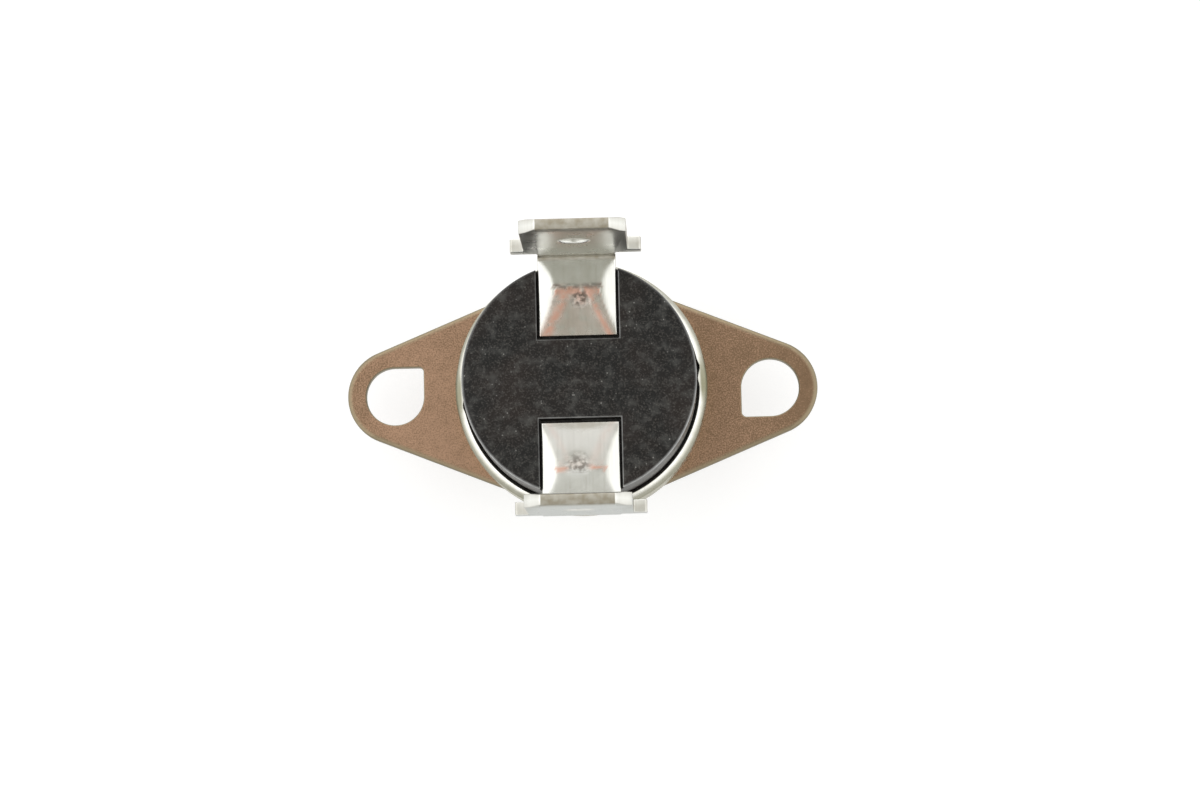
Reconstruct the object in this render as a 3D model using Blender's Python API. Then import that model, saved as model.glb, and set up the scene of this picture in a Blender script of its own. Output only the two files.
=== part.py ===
"""Half-inch snap-disc limit switch with a two-hole mounting flange.

The part stands on its sensing face. The origin is the centre of that face, X runs along the flange
and Z points to the tabs. Lengths are in metres.

How it works: the dished disc lies on a ledge in the cap. When it is hot it snaps, its centre pushes
the pin up through the guide, and the pin lifts the spring arm off the fixed contact.
"""

import math

import bmesh
import bpy
from mathutils import Vector

# Mounting flange
HOLE_PITCH = 0.0238
SCREW_HOLE_RADIUS = 0.00183
HOLE_CORNER_RADIUS = 0.0003
EAR_MARGIN = 0.00117
FLANGE_THICKNESS = 0.0008
FLANGE_LIP = 0.00005
FLANGE_EDGE_INSET = 0.00051
FLANGE_EDGE_ROUND = 0.00008

# Sensing cap
CAP_DROP = 0.0036
CAP_FLOOR = 0.0006
CAP_WALL = 0.0004
CAP_CORNER = 0.0005
COLLAR_STEP = 0.0006
COLLAR_HEIGHT = 0.0033
COLLAR_CORNER = 0.00008
RIM_LIP = 0.0001
LEDGE_HEIGHT = 0.00045
LEDGE_WIDTH = 0.0005
BEAD_REACH = 0.00025
BEAD_HEIGHT = 0.0004

# Bimetal disc
DISC_RADIUS = 0.00635
DISC_THICKNESS = 0.0002
DISC_DISH = 0.0002
DISC_PLAY = 0.00055
DISC_HEADROOM = 0.00015

# Disc guide
GUIDE_PLATE = 0.00085
GUIDE_WALL = 0.00075
GUIDE_HUB_RADIUS = 0.0019
GUIDE_HUB_GAP = 0.0007
GUIDE_RIBS = 4
GUIDE_RIB_WIDTH = 0.0006
GUIDE_RIB_HEIGHT = 0.0013

# Transfer pin
PIN_RADIUS = 0.00075
PIN_CLEARANCE = 0.00005
PIN_TIP_ROUND = 0.0002

# Switch body
BODY_RISE = 0.00815
BODY_SHOULDER = 0.00023
BODY_CHAMFER = 0.00015
POCKET_MARGIN = 0.000125
CHAMBER_HALF_WIDTH = 0.0018
CHAMBER_HEADROOM = 0.0014
CHAMBER_END = 0.0013
ARM_RECESS_HEIGHT = 0.0006
BOSS_RADIUS = 0.00115

# Terminals
SHEET = 0.0008
PAD_WIDTH = 0.0048
PAD_START = 0.00265
TAB_FACE = 0.00835
BEND_RADIUS = 0.0004
NECK_RISE = 0.00105
WING_HEIGHT = 0.0011
WING_WIDTH = 0.0080
WING_SLOPE = 0.00015
TAB_WIDTH = 0.00635
TAB_LENGTH = 0.0079
TIP_CORNER = 0.00095
TIP_TAPER = 0.0004
TIP_THICKNESS = 0.00045
DETENT_RADIUS = 0.0009
DETENT_FROM_TIP = 0.0042

# Rivets, spring arm and contacts
RIVET_RADIUS = 0.0009
RIVET_HEAD_RADIUS = 0.0016
RIVET_HEAD = 0.0006
SPIGOT_RADIUS = 0.0006
UPSET_RADIUS = 0.00105
UPSET_HEIGHT = 0.00025
ARM_THICKNESS = 0.0002
ARM_WIDTH = 0.0024
ARM_TIP_WIDTH = 0.0021
WASHER_RADIUS = 0.00112
WASHER_THICKNESS = 0.0002
STRIP_THICKNESS = 0.00035
CONTACT_RADIUS = 0.0010
CONTACT_THICKNESS = 0.0005
CONTACT_SHANK_RADIUS = 0.0005
CONTACT_UPSET_RADIUS = 0.00075
CONTACT_UPSET = 0.0002
CONTACT_DOME = 0.00008
CONTACT_FACE_RADIUS = 0.0006
UPSET_DOME = 0.00006
CONTACT_TO_RIVET = 0.00035

# Clearances between seated pieces
SEAT_GAP = 0.00003
SLIDE_GAP = 0.00005
FLEX_GAP = 0.0001

# Facets
BIG_STEPS = 80
MIDDLE_STEPS = 48
SMALL_STEPS = 24
ARC_STEPS = 3
BEND_STEPS = 5
EAR_STEPS = 20
WAIST_STEPS = 28
HOLE_STEPS = 24
DISC_RINGS = 4

# Plan sizes
EAR_RADIUS = SCREW_HOLE_RADIUS + EAR_MARGIN
EAR_X = HOLE_PITCH / 2
CAP_INNER = DISC_RADIUS + DISC_PLAY
CAP_RADIUS = CAP_INNER + CAP_WALL
COLLAR_RADIUS = CAP_RADIUS + COLLAR_STEP
COLLAR_INNER = COLLAR_RADIUS - CAP_WALL
FLANGE_DISC_RADIUS = COLLAR_RADIUS + FLANGE_LIP
FLANGE_EDGE_DISTANCE = FLANGE_DISC_RADIUS - FLANGE_EDGE_INSET
FLANGE_BORE = CAP_RADIUS + SLIDE_GAP
BODY_LOWER_RADIUS = COLLAR_INNER - SLIDE_GAP
BODY_RADIUS = BODY_LOWER_RADIUS - BODY_SHOULDER
RIVET_Y = (PAD_START + TAB_FACE - SHEET) / 2
CONTACT_Y = RIVET_Y - RIVET_RADIUS - CONTACT_TO_RIVET - CONTACT_RADIUS

# Heights above the sensing face, from the cap up
FLANGE_TOP = CAP_DROP + FLANGE_THICKNESS
COLLAR_BOTTOM = FLANGE_TOP + SEAT_GAP
COLLAR_FLOOR = COLLAR_BOTTOM + CAP_WALL
RIM_TOP = FLANGE_TOP + COLLAR_HEIGHT
LEDGE_Z = CAP_FLOOR + LEDGE_HEIGHT
DISC_RIM_Z = LEDGE_Z + SEAT_GAP
DISC_CENTRE_TOP = DISC_RIM_Z + DISC_THICKNESS - DISC_DISH
GUIDE_SKIRT_Z = DISC_RIM_Z + DISC_THICKNESS + DISC_HEADROOM
GUIDE_Z = COLLAR_FLOOR + SEAT_GAP
GUIDE_TOP = GUIDE_Z + GUIDE_PLATE
BODY_Z = GUIDE_TOP + SEAT_GAP
BODY_SHOULDER_Z = RIM_TOP - CAP_WALL - SEAT_GAP
BODY_TOP = FLANGE_TOP + BODY_RISE

# Heights of the contact stack, from the guide up
STRIP_Z = GUIDE_TOP + UPSET_HEIGHT + CONTACT_UPSET
STRIP_TOP = STRIP_Z + STRIP_THICKNESS
FIXED_CONTACT_Z = STRIP_TOP + SEAT_GAP
MOVING_CONTACT_Z = FIXED_CONTACT_Z + CONTACT_THICKNESS + SEAT_GAP
ARM_Z = MOVING_CONTACT_Z + CONTACT_THICKNESS + SEAT_GAP
ARM_TOP = ARM_Z + ARM_THICKNESS
ARM_PIVOT_Z = ARM_Z + ARM_THICKNESS / 2
BOSS_Z = ARM_TOP + FLEX_GAP
WASHER_Z = ARM_Z - FLEX_GAP - WASHER_THICKNESS
CHAMBER_TOP = ARM_TOP + CHAMBER_HEADROOM
PIN_Z = DISC_CENTRE_TOP + SEAT_GAP
PIN_TOP = ARM_Z - SEAT_GAP

# Heights of the terminals
PAD_Z = BODY_TOP - SHEET
RIVET_TOP = PAD_Z - SEAT_GAP
RIVET_HEAD_Z = RIVET_TOP - RIVET_HEAD
WING_Z = BODY_TOP + NECK_RISE
TAB_Z = WING_Z + WING_HEIGHT
TIP_Z = TAB_Z + TAB_LENGTH
DETENT_Z = TIP_Z - DETENT_FROM_TIP

# Cutters run past the face that they open by this much
OVERRUN = 0.0005
MERGE = 1e-7


def clear_scene():
    for obj in list(bpy.data.objects):
        bpy.data.objects.remove(obj, do_unlink=True)


def material(name, colour, roughness, metallic):
    mat = bpy.data.materials.new(name)
    mat.use_nodes = True
    shader = mat.node_tree.nodes["Principled BSDF"]
    shader.inputs["Base Color"].default_value = (*colour, 1.0)
    shader.inputs["Roughness"].default_value = roughness
    shader.inputs["Metallic"].default_value = metallic
    return mat


def make_object(name, bm, mat=None, location=(0, 0, 0), parent=None):
    bmesh.ops.recalc_face_normals(bm, faces=bm.faces)
    mesh = bpy.data.meshes.new(name)
    bm.to_mesh(mesh)
    bm.free()
    mesh.shade_smooth()
    mesh.set_sharp_from_angle(angle=math.radians(32))
    obj = bpy.data.objects.new(name, mesh)
    bpy.context.scene.collection.objects.link(obj)
    obj.location = location
    obj.parent = parent
    if mat:
        mesh.materials.append(mat)
    return obj


def arc(centre, radius, start, end, steps=ARC_STEPS):
    """Points on a circle's arc, with angles in degrees."""
    points = []
    for i in range(steps + 1):
        angle = math.radians(start + (end - start) * i / steps)
        points.append((centre[0] + radius * math.cos(angle), centre[1] + radius * math.sin(angle)))
    return points


def turned(outline, steps=BIG_STEPS, closed=False):
    """Spins an outline of (radius, height) points round Z. A closed outline gives a ring."""
    bm = bmesh.new()
    verts = [bm.verts.new((r, 0, z)) for r, z in outline]
    edges = [bm.edges.new(pair) for pair in zip(verts, verts[1:])]
    if closed:
        edges.append(bm.edges.new((verts[-1], verts[0])))
    bmesh.ops.spin(
        bm,
        geom=verts + edges,
        cent=(0, 0, 0),
        axis=(0, 0, 1),
        angle=2 * math.pi,
        steps=steps,
        use_merge=True,
    )
    bmesh.ops.remove_doubles(bm, verts=bm.verts, dist=MERGE)
    return bm


def extruded(outline, bottom, top):
    """A flat outline of (x, y) points, extruded from one height to another."""
    bm = bmesh.new()
    face = bm.faces.new([bm.verts.new((x, y, bottom)) for x, y in outline])
    result = bmesh.ops.extrude_face_region(bm, geom=[face])
    moved = [v for v in result["geom"] if isinstance(v, bmesh.types.BMVert)]
    bmesh.ops.translate(bm, verts=moved, vec=(0, 0, top - bottom))
    return bm


def box(x, y, z):
    """A box between the two values of each pair."""
    return extruded([(x[0], y[0]), (x[1], y[0]), (x[1], y[1]), (x[0], y[1])], z[0], z[1])


def cutter(name, bm, location=(0, 0, 0)):
    obj = make_object(name, bm, location=location)
    obj.hide_render = True
    obj.display_type = "WIRE"
    return obj


def combine(obj, other, operation="DIFFERENCE"):
    mod = obj.modifiers.new(other.name, "BOOLEAN")
    mod.operation = operation
    mod.object = other
    mod.solver = "EXACT"


def bevel_edges(obj, width, segments=1, angle=40):
    mod = obj.modifiers.new("edge_round", "BEVEL")
    mod.width = width
    mod.segments = segments
    mod.limit_method = "ANGLE"
    mod.angle_limit = math.radians(angle)


def flange_outline():
    """Two ears, a central disc just wider than the collar, and straight edges tangent to the ears."""
    taper = math.asin((FLANGE_EDGE_DISTANCE - EAR_RADIUS) / EAR_X)
    along = math.sqrt(FLANGE_DISC_RADIUS**2 - FLANGE_EDGE_DISTANCE**2)
    meeting = math.degrees(math.pi / 2 - taper - math.atan2(along, FLANGE_EDGE_DISTANCE))
    ear_end = 90 - math.degrees(taper)
    points = []
    for side in (0, 180):
        sign = 1 if side == 0 else -1
        points += arc((sign * EAR_X, 0), EAR_RADIUS, side - ear_end, side + ear_end, EAR_STEPS)
        points += arc((0, 0), FLANGE_DISC_RADIUS, side + meeting, side + 180 - meeting, WAIST_STEPS)
    return points


def screw_hole_outline():
    """A circle with the quadrant towards +X and +Y squared off to a small corner."""
    r, corner = SCREW_HOLE_RADIUS, HOLE_CORNER_RADIUS
    points = arc((0, 0), r, 90, 360, HOLE_STEPS)
    points += arc((r - corner, r - corner), corner, 0, 90)
    return points


def mounting_flange(mat):
    flange = make_object("mounting_flange", extruded(flange_outline(), CAP_DROP, FLANGE_TOP), mat)
    for name, side in (("cut_hole_west", -1), ("cut_hole_east", 1)):
        hole = extruded(screw_hole_outline(), CAP_DROP - OVERRUN, FLANGE_TOP + OVERRUN)
        obj = cutter(name, hole, (side * EAR_X, 0, 0))
        obj.rotation_euler.z = 0 if side < 0 else math.pi
        combine(flange, obj)
    sink = BEAD_REACH + SLIDE_GAP
    bore = [
        (0, CAP_DROP - OVERRUN),
        (FLANGE_BORE + sink, CAP_DROP - OVERRUN),
        (FLANGE_BORE + sink, CAP_DROP),
        (FLANGE_BORE, CAP_DROP + BEAD_HEIGHT),
        (FLANGE_BORE, FLANGE_TOP + OVERRUN),
        (0, FLANGE_TOP + OVERRUN),
    ]
    combine(flange, cutter("cut_cap_bore", turned(bore)))
    bevel_edges(flange, FLANGE_EDGE_ROUND)
    return flange


def cap_outline():
    """The drawn wall's section: sensing face, staking bead, collar, rolled rim, and back down inside."""
    corner = CAP_CORNER
    bead_top = CAP_DROP + BEAD_HEIGHT - SLIDE_GAP
    rim_inner = COLLAR_INNER - RIM_LIP
    points = [(0, 0)]
    points += arc((CAP_RADIUS - corner, corner), corner, -90, 0)
    points += [
        (CAP_RADIUS, CAP_DROP - SEAT_GAP),
        (CAP_RADIUS + BEAD_REACH, CAP_DROP),
        (CAP_RADIUS, bead_top),
    ]
    points += arc((CAP_RADIUS + SLIDE_GAP, COLLAR_BOTTOM - SLIDE_GAP), SLIDE_GAP, 180, 90, 2)
    turn = COLLAR_CORNER
    points += arc((COLLAR_RADIUS - turn, COLLAR_BOTTOM + turn), turn, -90, 0, 2)
    points += arc((COLLAR_RADIUS - CAP_WALL, RIM_TOP - CAP_WALL), CAP_WALL, 0, 90)
    points += [
        (rim_inner, RIM_TOP),
        (rim_inner, RIM_TOP - CAP_WALL),
        (COLLAR_INNER, RIM_TOP - CAP_WALL),
        (COLLAR_INNER, COLLAR_FLOOR),
        (CAP_INNER, COLLAR_FLOOR),
        (CAP_INNER, LEDGE_Z),
        (DISC_RADIUS - LEDGE_WIDTH, LEDGE_Z),
        (DISC_RADIUS - LEDGE_WIDTH, CAP_FLOOR),
        (0, CAP_FLOOR),
    ]
    return points


def sensing_cap(mat):
    return make_object("sensing_cap", turned(cap_outline()), mat)


def bimetal_disc(mat):
    """A dished disc whose centre lies lower than its rim while it is cold."""
    lower = []
    for i in range(DISC_RINGS + 1):
        share = i / DISC_RINGS
        lower.append((DISC_RADIUS * share, DISC_RIM_Z - DISC_DISH * (1 - share**2)))
    upper = [(r, z + DISC_THICKNESS) for r, z in reversed(lower)]
    return make_object("bimetal_disc", turned(lower + upper, MIDDLE_STEPS), mat)


def disc_guide(mat):
    """Moulded plate with a skirt over the disc's rim, and a ribbed hub that guides the pin."""
    skirt = CAP_INNER - SLIDE_GAP
    skirt_inner = skirt - GUIDE_WALL
    bore = PIN_RADIUS + PIN_CLEARANCE
    hub_z = DISC_CENTRE_TOP + GUIDE_HUB_GAP
    outline = [
        (bore, hub_z),
        (GUIDE_HUB_RADIUS, hub_z),
        (GUIDE_HUB_RADIUS, GUIDE_Z),
        (skirt_inner, GUIDE_Z),
        (skirt_inner, GUIDE_SKIRT_Z),
        (skirt, GUIDE_SKIRT_Z),
        (skirt, GUIDE_Z),
        (BODY_LOWER_RADIUS, GUIDE_Z),
        (BODY_LOWER_RADIUS, GUIDE_TOP),
        (bore, GUIDE_TOP),
    ]
    guide = make_object("disc_guide", turned(outline, MIDDLE_STEPS, closed=True), mat)
    bottom = GUIDE_Z - GUIDE_RIB_HEIGHT
    reach = ((bore + GUIDE_HUB_RADIUS) / 2, (skirt_inner + skirt) / 2)
    half = GUIDE_RIB_WIDTH / 2
    for i in range(GUIDE_RIBS):
        rib = box(reach, (-half, half), (bottom, GUIDE_Z + GUIDE_PLATE / 2))
        obj = cutter(f"join_rib_{i + 1}", rib)
        obj.rotation_euler.z = 2 * math.pi * (i + 0.5) / GUIDE_RIBS
        combine(guide, obj, "UNION")
    return guide


def transfer_pin(mat):
    tip = PIN_TIP_ROUND
    points = [(0, PIN_Z)]
    points += arc((PIN_RADIUS - tip, PIN_Z + tip), tip, -90, 0)
    points += arc((PIN_RADIUS - tip, PIN_TOP - tip), tip, 0, 90)
    points += [(0, PIN_TOP)]
    return make_object("transfer_pin", turned(points, SMALL_STEPS), mat)


def pocket(side):
    """The open-ended pocket that one terminal pad lies in."""
    half = PAD_WIDTH / 2 + POCKET_MARGIN
    near, far = PAD_START - POCKET_MARGIN, BODY_LOWER_RADIUS + OVERRUN
    y = (near, far) if side > 0 else (-far, -near)
    return box((-half, half), y, (RIVET_TOP, BODY_TOP + OVERRUN))


def rivet_bore():
    """Counterbore for a rivet's head, and the bore for its shank, down through the chamber."""
    head = RIVET_HEAD_RADIUS + SLIDE_GAP
    shank = RIVET_RADIUS + SLIDE_GAP
    floor = RIVET_HEAD_Z - SEAT_GAP
    points = [(0, BODY_Z - OVERRUN), (shank, BODY_Z - OVERRUN), (shank, floor)]
    points += [(head, floor), (head, BODY_TOP + OVERRUN), (0, BODY_TOP + OVERRUN)]
    return turned(points, SMALL_STEPS)


def switch_body(mat):
    """Moulded disc: shoulder under the rolled rim, pad pockets on top, contact chamber below."""
    chamfer = BODY_CHAMFER
    outline = [
        (0, BODY_Z),
        (BODY_LOWER_RADIUS, BODY_Z),
        (BODY_LOWER_RADIUS, BODY_SHOULDER_Z),
        (BODY_RADIUS, BODY_SHOULDER_Z),
        (BODY_RADIUS, BODY_TOP - chamfer),
        (BODY_RADIUS - chamfer, BODY_TOP),
        (0, BODY_TOP),
    ]
    body = make_object("switch_body", turned(outline), mat)
    x = (-CHAMBER_HALF_WIDTH, CHAMBER_HALF_WIDTH)
    below = BODY_Z - OVERRUN
    end = RIVET_Y + CHAMBER_END
    arm_edge = -(RIVET_Y - BOSS_RADIUS - SLIDE_GAP)
    strip_edge = CONTACT_Y + CONTACT_RADIUS + CONTACT_TO_RIVET / 2
    recess_top = BOSS_Z + ARM_RECESS_HEIGHT
    seat = STRIP_TOP + SEAT_GAP
    combine(body, cutter("cut_chamber", box(x, (arm_edge, strip_edge), (below, CHAMBER_TOP))))
    combine(body, cutter("cut_arm_recess", box(x, (-end, arm_edge + SLIDE_GAP), (below, recess_top))))
    combine(body, cutter("cut_strip_recess", box(x, (strip_edge - SLIDE_GAP, end), (below, seat))))
    boss = [(0, BOSS_Z), (BOSS_RADIUS, BOSS_Z), (BOSS_RADIUS, recess_top + OVERRUN), (0, recess_top + OVERRUN)]
    combine(body, cutter("join_boss", turned(boss, SMALL_STEPS), (0, -RIVET_Y, 0)), "UNION")
    for name, side in (("north", 1), ("south", -1)):
        combine(body, cutter(f"cut_pocket_{name}", pocket(side)))
        combine(body, cutter(f"cut_rivet_bore_{name}", rivet_bore(), (0, side * RIVET_Y, 0)))
    return body


def blank_outline():
    """The terminal's flat blank as (x, s) points, where s runs from the pad's end to the tab's tip."""
    pad, tab, wing = PAD_WIDTH / 2, TAB_WIDTH / 2, WING_WIDTH / 2
    base = folded_length(WING_Z)
    fillet = WING_SLOPE
    right = [(pad, 0), (pad, base - fillet)]
    right += arc((pad + fillet, base - fillet), fillet, 180, 90)
    right += [(wing - fillet, base), (wing, base + fillet)]
    right += [(wing, base + WING_HEIGHT - 2 * fillet), (wing - fillet, base + WING_HEIGHT - fillet)]
    right += [(tab, base + WING_HEIGHT), (tab, folded_length(TIP_Z) - TIP_CORNER)]
    right += [(tab - TIP_CORNER, folded_length(TIP_Z))]
    left = [(-x, s) for x, s in reversed(right)]
    return right + left


def bend_start():
    return TAB_FACE - SHEET - BEND_RADIUS - PAD_START


def bend_length():
    return math.pi / 2 * (BEND_RADIUS + SHEET / 2)


def folded_length(height):
    """How far along the blank a point of the upright tab lies, for its height."""
    return bend_start() + bend_length() + height - (BODY_TOP + BEND_RADIUS)


def fold(x, s, t):
    """Places a point of the blank: t is its height in the sheet, from the pad's underside."""
    start, length = bend_start(), bend_length()
    middle = SHEET / 2
    from_tip = folded_length(TIP_Z) - s
    if from_tip < TIP_TAPER:
        thin = TIP_THICKNESS / SHEET
        share = thin + (1 - thin) * max(from_tip, 0) / TIP_TAPER
        t = middle + (t - middle) * share
    if s <= start:
        return Vector((x, PAD_START + s, PAD_Z + t))
    radius = BEND_RADIUS + SHEET - t
    centre = Vector((x, PAD_START + start, BODY_TOP + BEND_RADIUS))
    if s < start + length:
        angle = math.pi / 2 * (s - start) / length
        return centre + Vector((0, radius * math.sin(angle), -radius * math.cos(angle)))
    return centre + Vector((0, radius, s - start - length))


def terminal_mesh():
    """Cuts the blank across at the bend and the tip, then folds it up."""
    bm = extruded(blank_outline(), 0, SHEET)
    start, length = bend_start(), bend_length()
    lines = [start + length * i / BEND_STEPS for i in range(BEND_STEPS + 1)]
    lines += [folded_length(TIP_Z) - TIP_TAPER]
    for s in lines:
        geom = list(bm.verts) + list(bm.edges) + list(bm.faces)
        bmesh.ops.bisect_plane(bm, geom=geom, dist=MERGE, plane_co=(0, s, 0), plane_no=(0, 1, 0))
    for vert in bm.verts:
        vert.co = fold(*vert.co)
    return bm


def terminals(mat):
    detent = turned([(0, -TAB_FACE - OVERRUN), (DETENT_RADIUS, -TAB_FACE - OVERRUN),
                     (DETENT_RADIUS, TAB_FACE + OVERRUN), (0, TAB_FACE + OVERRUN)], SMALL_STEPS)
    detent_cutter = cutter("cut_detent", detent, (0, 0, DETENT_Z))
    detent_cutter.rotation_euler.x = math.pi / 2
    first = make_object("contact_terminal", terminal_mesh(), mat)
    second = bpy.data.objects.new("arm_terminal", first.data)
    bpy.context.scene.collection.objects.link(second)
    second.rotation_euler.z = math.pi
    for obj in (first, second):
        combine(obj, detent_cutter)
    return first, second


def rivet(name, side, shoulder, upset_top, mat):
    """Headed post: the head under the pad, a spigot through the sheet below, and an upset end."""
    upset_z = upset_top - UPSET_HEIGHT
    dome = UPSET_DOME
    points = [(0, upset_z), (UPSET_RADIUS - dome, upset_z), (UPSET_RADIUS, upset_z + dome)]
    points += [(UPSET_RADIUS, upset_top), (SPIGOT_RADIUS, upset_top), (SPIGOT_RADIUS, shoulder)]
    points += [(RIVET_RADIUS, shoulder), (RIVET_RADIUS, RIVET_HEAD_Z), (RIVET_HEAD_RADIUS, RIVET_HEAD_Z)]
    points += [(RIVET_HEAD_RADIUS, RIVET_TOP), (0, RIVET_TOP)]
    return make_object(name, turned(points, SMALL_STEPS), mat, (0, side * RIVET_Y, 0))


def arm_washer(mat):
    inner = SPIGOT_RADIUS + SLIDE_GAP
    top = WASHER_Z + WASHER_THICKNESS
    points = [(inner, WASHER_Z), (WASHER_RADIUS, WASHER_Z), (WASHER_RADIUS, top), (inner, top)]
    bm = turned(points, SMALL_STEPS, closed=True)
    return make_object("arm_washer", bm, mat, (0, -RIVET_Y, 0))


def contact_points(bottom, sheet_z, sheet_top, upward):
    """Outline of a contact rivet: a domed head on one side of its sheet, the upset on the other."""
    shank, head, upset = CONTACT_SHANK_RADIUS, CONTACT_RADIUS, CONTACT_UPSET_RADIUS
    points = [(0, 0), (CONTACT_FACE_RADIUS, 0), (head, CONTACT_DOME), (head, CONTACT_THICKNESS)]
    through = CONTACT_THICKNESS + 2 * SEAT_GAP + (sheet_top - sheet_z)
    end = through + CONTACT_UPSET - SEAT_GAP
    points += [(shank, CONTACT_THICKNESS), (shank, through), (upset, through)]
    points += [(upset, end - UPSET_DOME), (shank, end), (0, end)]
    if upward:
        top = bottom + CONTACT_THICKNESS
        return [(r, top - z) for r, z in points]
    return [(r, bottom + z) for r, z in points]


def fixed_contact(mat):
    points = contact_points(FIXED_CONTACT_Z, STRIP_Z, STRIP_TOP, upward=True)
    return make_object("fixed_contact", turned(points, SMALL_STEPS), mat, (0, CONTACT_Y, 0))


def contact_strip(mat):
    """Fixed strip that carries the lower contact and is held by the contact rivet."""
    half = ARM_WIDTH / 2
    points = arc((0, CONTACT_Y), half, 180, 360, 12) + arc((0, RIVET_Y), half, 0, 180, 12)
    strip = make_object("contact_strip", extruded(points, STRIP_Z, STRIP_TOP), mat)
    for name, y, radius in (("rivet", RIVET_Y, SPIGOT_RADIUS), ("contact", CONTACT_Y, CONTACT_SHANK_RADIUS)):
        combine(strip, cutter(f"cut_strip_{name}", hole(radius, STRIP_Z, STRIP_TOP), (0, y, 0)))
    return strip


def hole(radius, bottom, top):
    """A round cutter with a sliding fit round the given radius."""
    r = radius + SLIDE_GAP
    points = [(0, bottom - OVERRUN), (r, bottom - OVERRUN), (r, top + OVERRUN), (0, top + OVERRUN)]
    return turned(points, SMALL_STEPS)


def contact_arm(mat, pivot):
    """Leaf spring, drawn round its pivot: a round end at the rivet and a narrower tip at the contact."""
    half, tip = ARM_WIDTH / 2, ARM_TIP_WIDTH / 2
    reach = CONTACT_Y + RIVET_Y
    low, high = ARM_Z - ARM_PIVOT_Z, ARM_TOP - ARM_PIVOT_Z
    points = arc((0, reach), tip, 0, 180, 12) + arc((0, 0), half, 180, 360, 12)
    arm = make_object("contact_arm", extruded(points, low, high), mat, parent=pivot)
    spigot = cutter("cut_arm_rivet", hole(SPIGOT_RADIUS + SLIDE_GAP, ARM_Z, ARM_TOP), (0, -RIVET_Y, 0))
    shank = cutter("cut_arm_contact", hole(CONTACT_SHANK_RADIUS, ARM_Z, ARM_TOP), (0, CONTACT_Y, 0))
    combine(arm, spigot)
    combine(arm, shank)
    return arm


def moving_contact(mat, pivot):
    points = contact_points(MOVING_CONTACT_Z, ARM_Z, ARM_TOP, upward=False)
    points = [(r, z - ARM_PIVOT_Z) for r, z in points]
    place = (0, CONTACT_Y + RIVET_Y, 0)
    return make_object("moving_contact", turned(points, SMALL_STEPS), mat, place, pivot)


def arm_pivot():
    """Empty on the arm's flexing line, across the arm rivet's axis."""
    pivot = bpy.data.objects.new("arm_pivot", None)
    bpy.context.scene.collection.objects.link(pivot)
    pivot.location = (0, -RIVET_Y, ARM_PIVOT_Z)
    return pivot


def main():
    clear_scene()
    mounting_flange(material("flange_steel", (0.30, 0.20, 0.14), 0.38, 0.9))
    sensing_cap(material("cap_aluminium", (0.80, 0.79, 0.75), 0.25, 1.0))
    bimetal_disc(material("bimetal", (0.62, 0.60, 0.55), 0.35, 1.0))
    disc_guide(material("guide_phenolic", (0.06, 0.04, 0.03), 0.5, 0.0))
    transfer_pin(material("pin_ceramic", (0.85, 0.83, 0.78), 0.4, 0.0))
    switch_body(material("body_phenolic", (0.012, 0.011, 0.010), 0.35, 0.0))
    terminals(material("tab_tin_plate", (0.72, 0.71, 0.68), 0.2, 1.0))
    brass = material("rivet_brass", (0.70, 0.52, 0.25), 0.3, 1.0)
    rivet("contact_rivet", 1, STRIP_TOP + SEAT_GAP, STRIP_Z - SEAT_GAP, brass)
    rivet("arm_rivet", -1, BOSS_Z, WASHER_Z - SEAT_GAP, brass)
    arm_washer(material("washer_steel", (0.55, 0.55, 0.54), 0.4, 1.0))
    silver = material("contact_silver", (0.90, 0.89, 0.86), 0.2, 1.0)
    fixed_contact(silver)
    contact_strip(material("strip_brass", (0.72, 0.55, 0.28), 0.35, 1.0))
    pivot = arm_pivot()
    contact_arm(material("arm_copper", (0.75, 0.45, 0.28), 0.3, 1.0), pivot)
    moving_contact(silver, pivot)


main()
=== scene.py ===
"""Half-inch snap-disc high-limit switch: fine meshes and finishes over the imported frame."""

import math
from collections import namedtuple

import bmesh
import bpy
from mathutils import Matrix, Vector


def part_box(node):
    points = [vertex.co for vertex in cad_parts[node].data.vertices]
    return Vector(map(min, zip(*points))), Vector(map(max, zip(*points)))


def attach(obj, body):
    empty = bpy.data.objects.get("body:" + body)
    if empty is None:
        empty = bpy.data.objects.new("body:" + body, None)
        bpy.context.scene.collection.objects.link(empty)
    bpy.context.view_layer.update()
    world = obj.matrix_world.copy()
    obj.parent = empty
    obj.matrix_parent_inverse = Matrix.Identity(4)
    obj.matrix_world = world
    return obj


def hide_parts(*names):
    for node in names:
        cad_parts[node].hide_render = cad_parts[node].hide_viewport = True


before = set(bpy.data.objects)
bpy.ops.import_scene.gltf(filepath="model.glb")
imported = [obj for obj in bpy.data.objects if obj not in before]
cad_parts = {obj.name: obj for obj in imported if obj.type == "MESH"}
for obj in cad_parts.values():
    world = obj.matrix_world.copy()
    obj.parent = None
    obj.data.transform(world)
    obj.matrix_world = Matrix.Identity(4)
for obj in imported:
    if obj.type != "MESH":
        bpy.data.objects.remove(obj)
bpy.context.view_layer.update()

bl_info = {
    "name": "High-limit switch",
    "version": (1, 0, 0),
    "blender": (4, 5, 0),
    "location": "View3D > Sidebar > Switch",
    "description": "Models and finishes a snap-disc high-limit switch over its packed frame",
    "category": "Add Mesh",
}

FLANGE_LOW, FLANGE_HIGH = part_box("mounting_flange")
CAP_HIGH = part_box("sensing_cap")[1]
BODY_LOW, BODY_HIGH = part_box("switch_body")
TAB_LOW, TAB_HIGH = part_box("contact_terminal")
RIVET_LOW, RIVET_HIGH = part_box("contact_rivet")
ARM_LOW, ARM_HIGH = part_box("contact_arm")
PIN_LOW, PIN_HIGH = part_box("transfer_pin")

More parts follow.
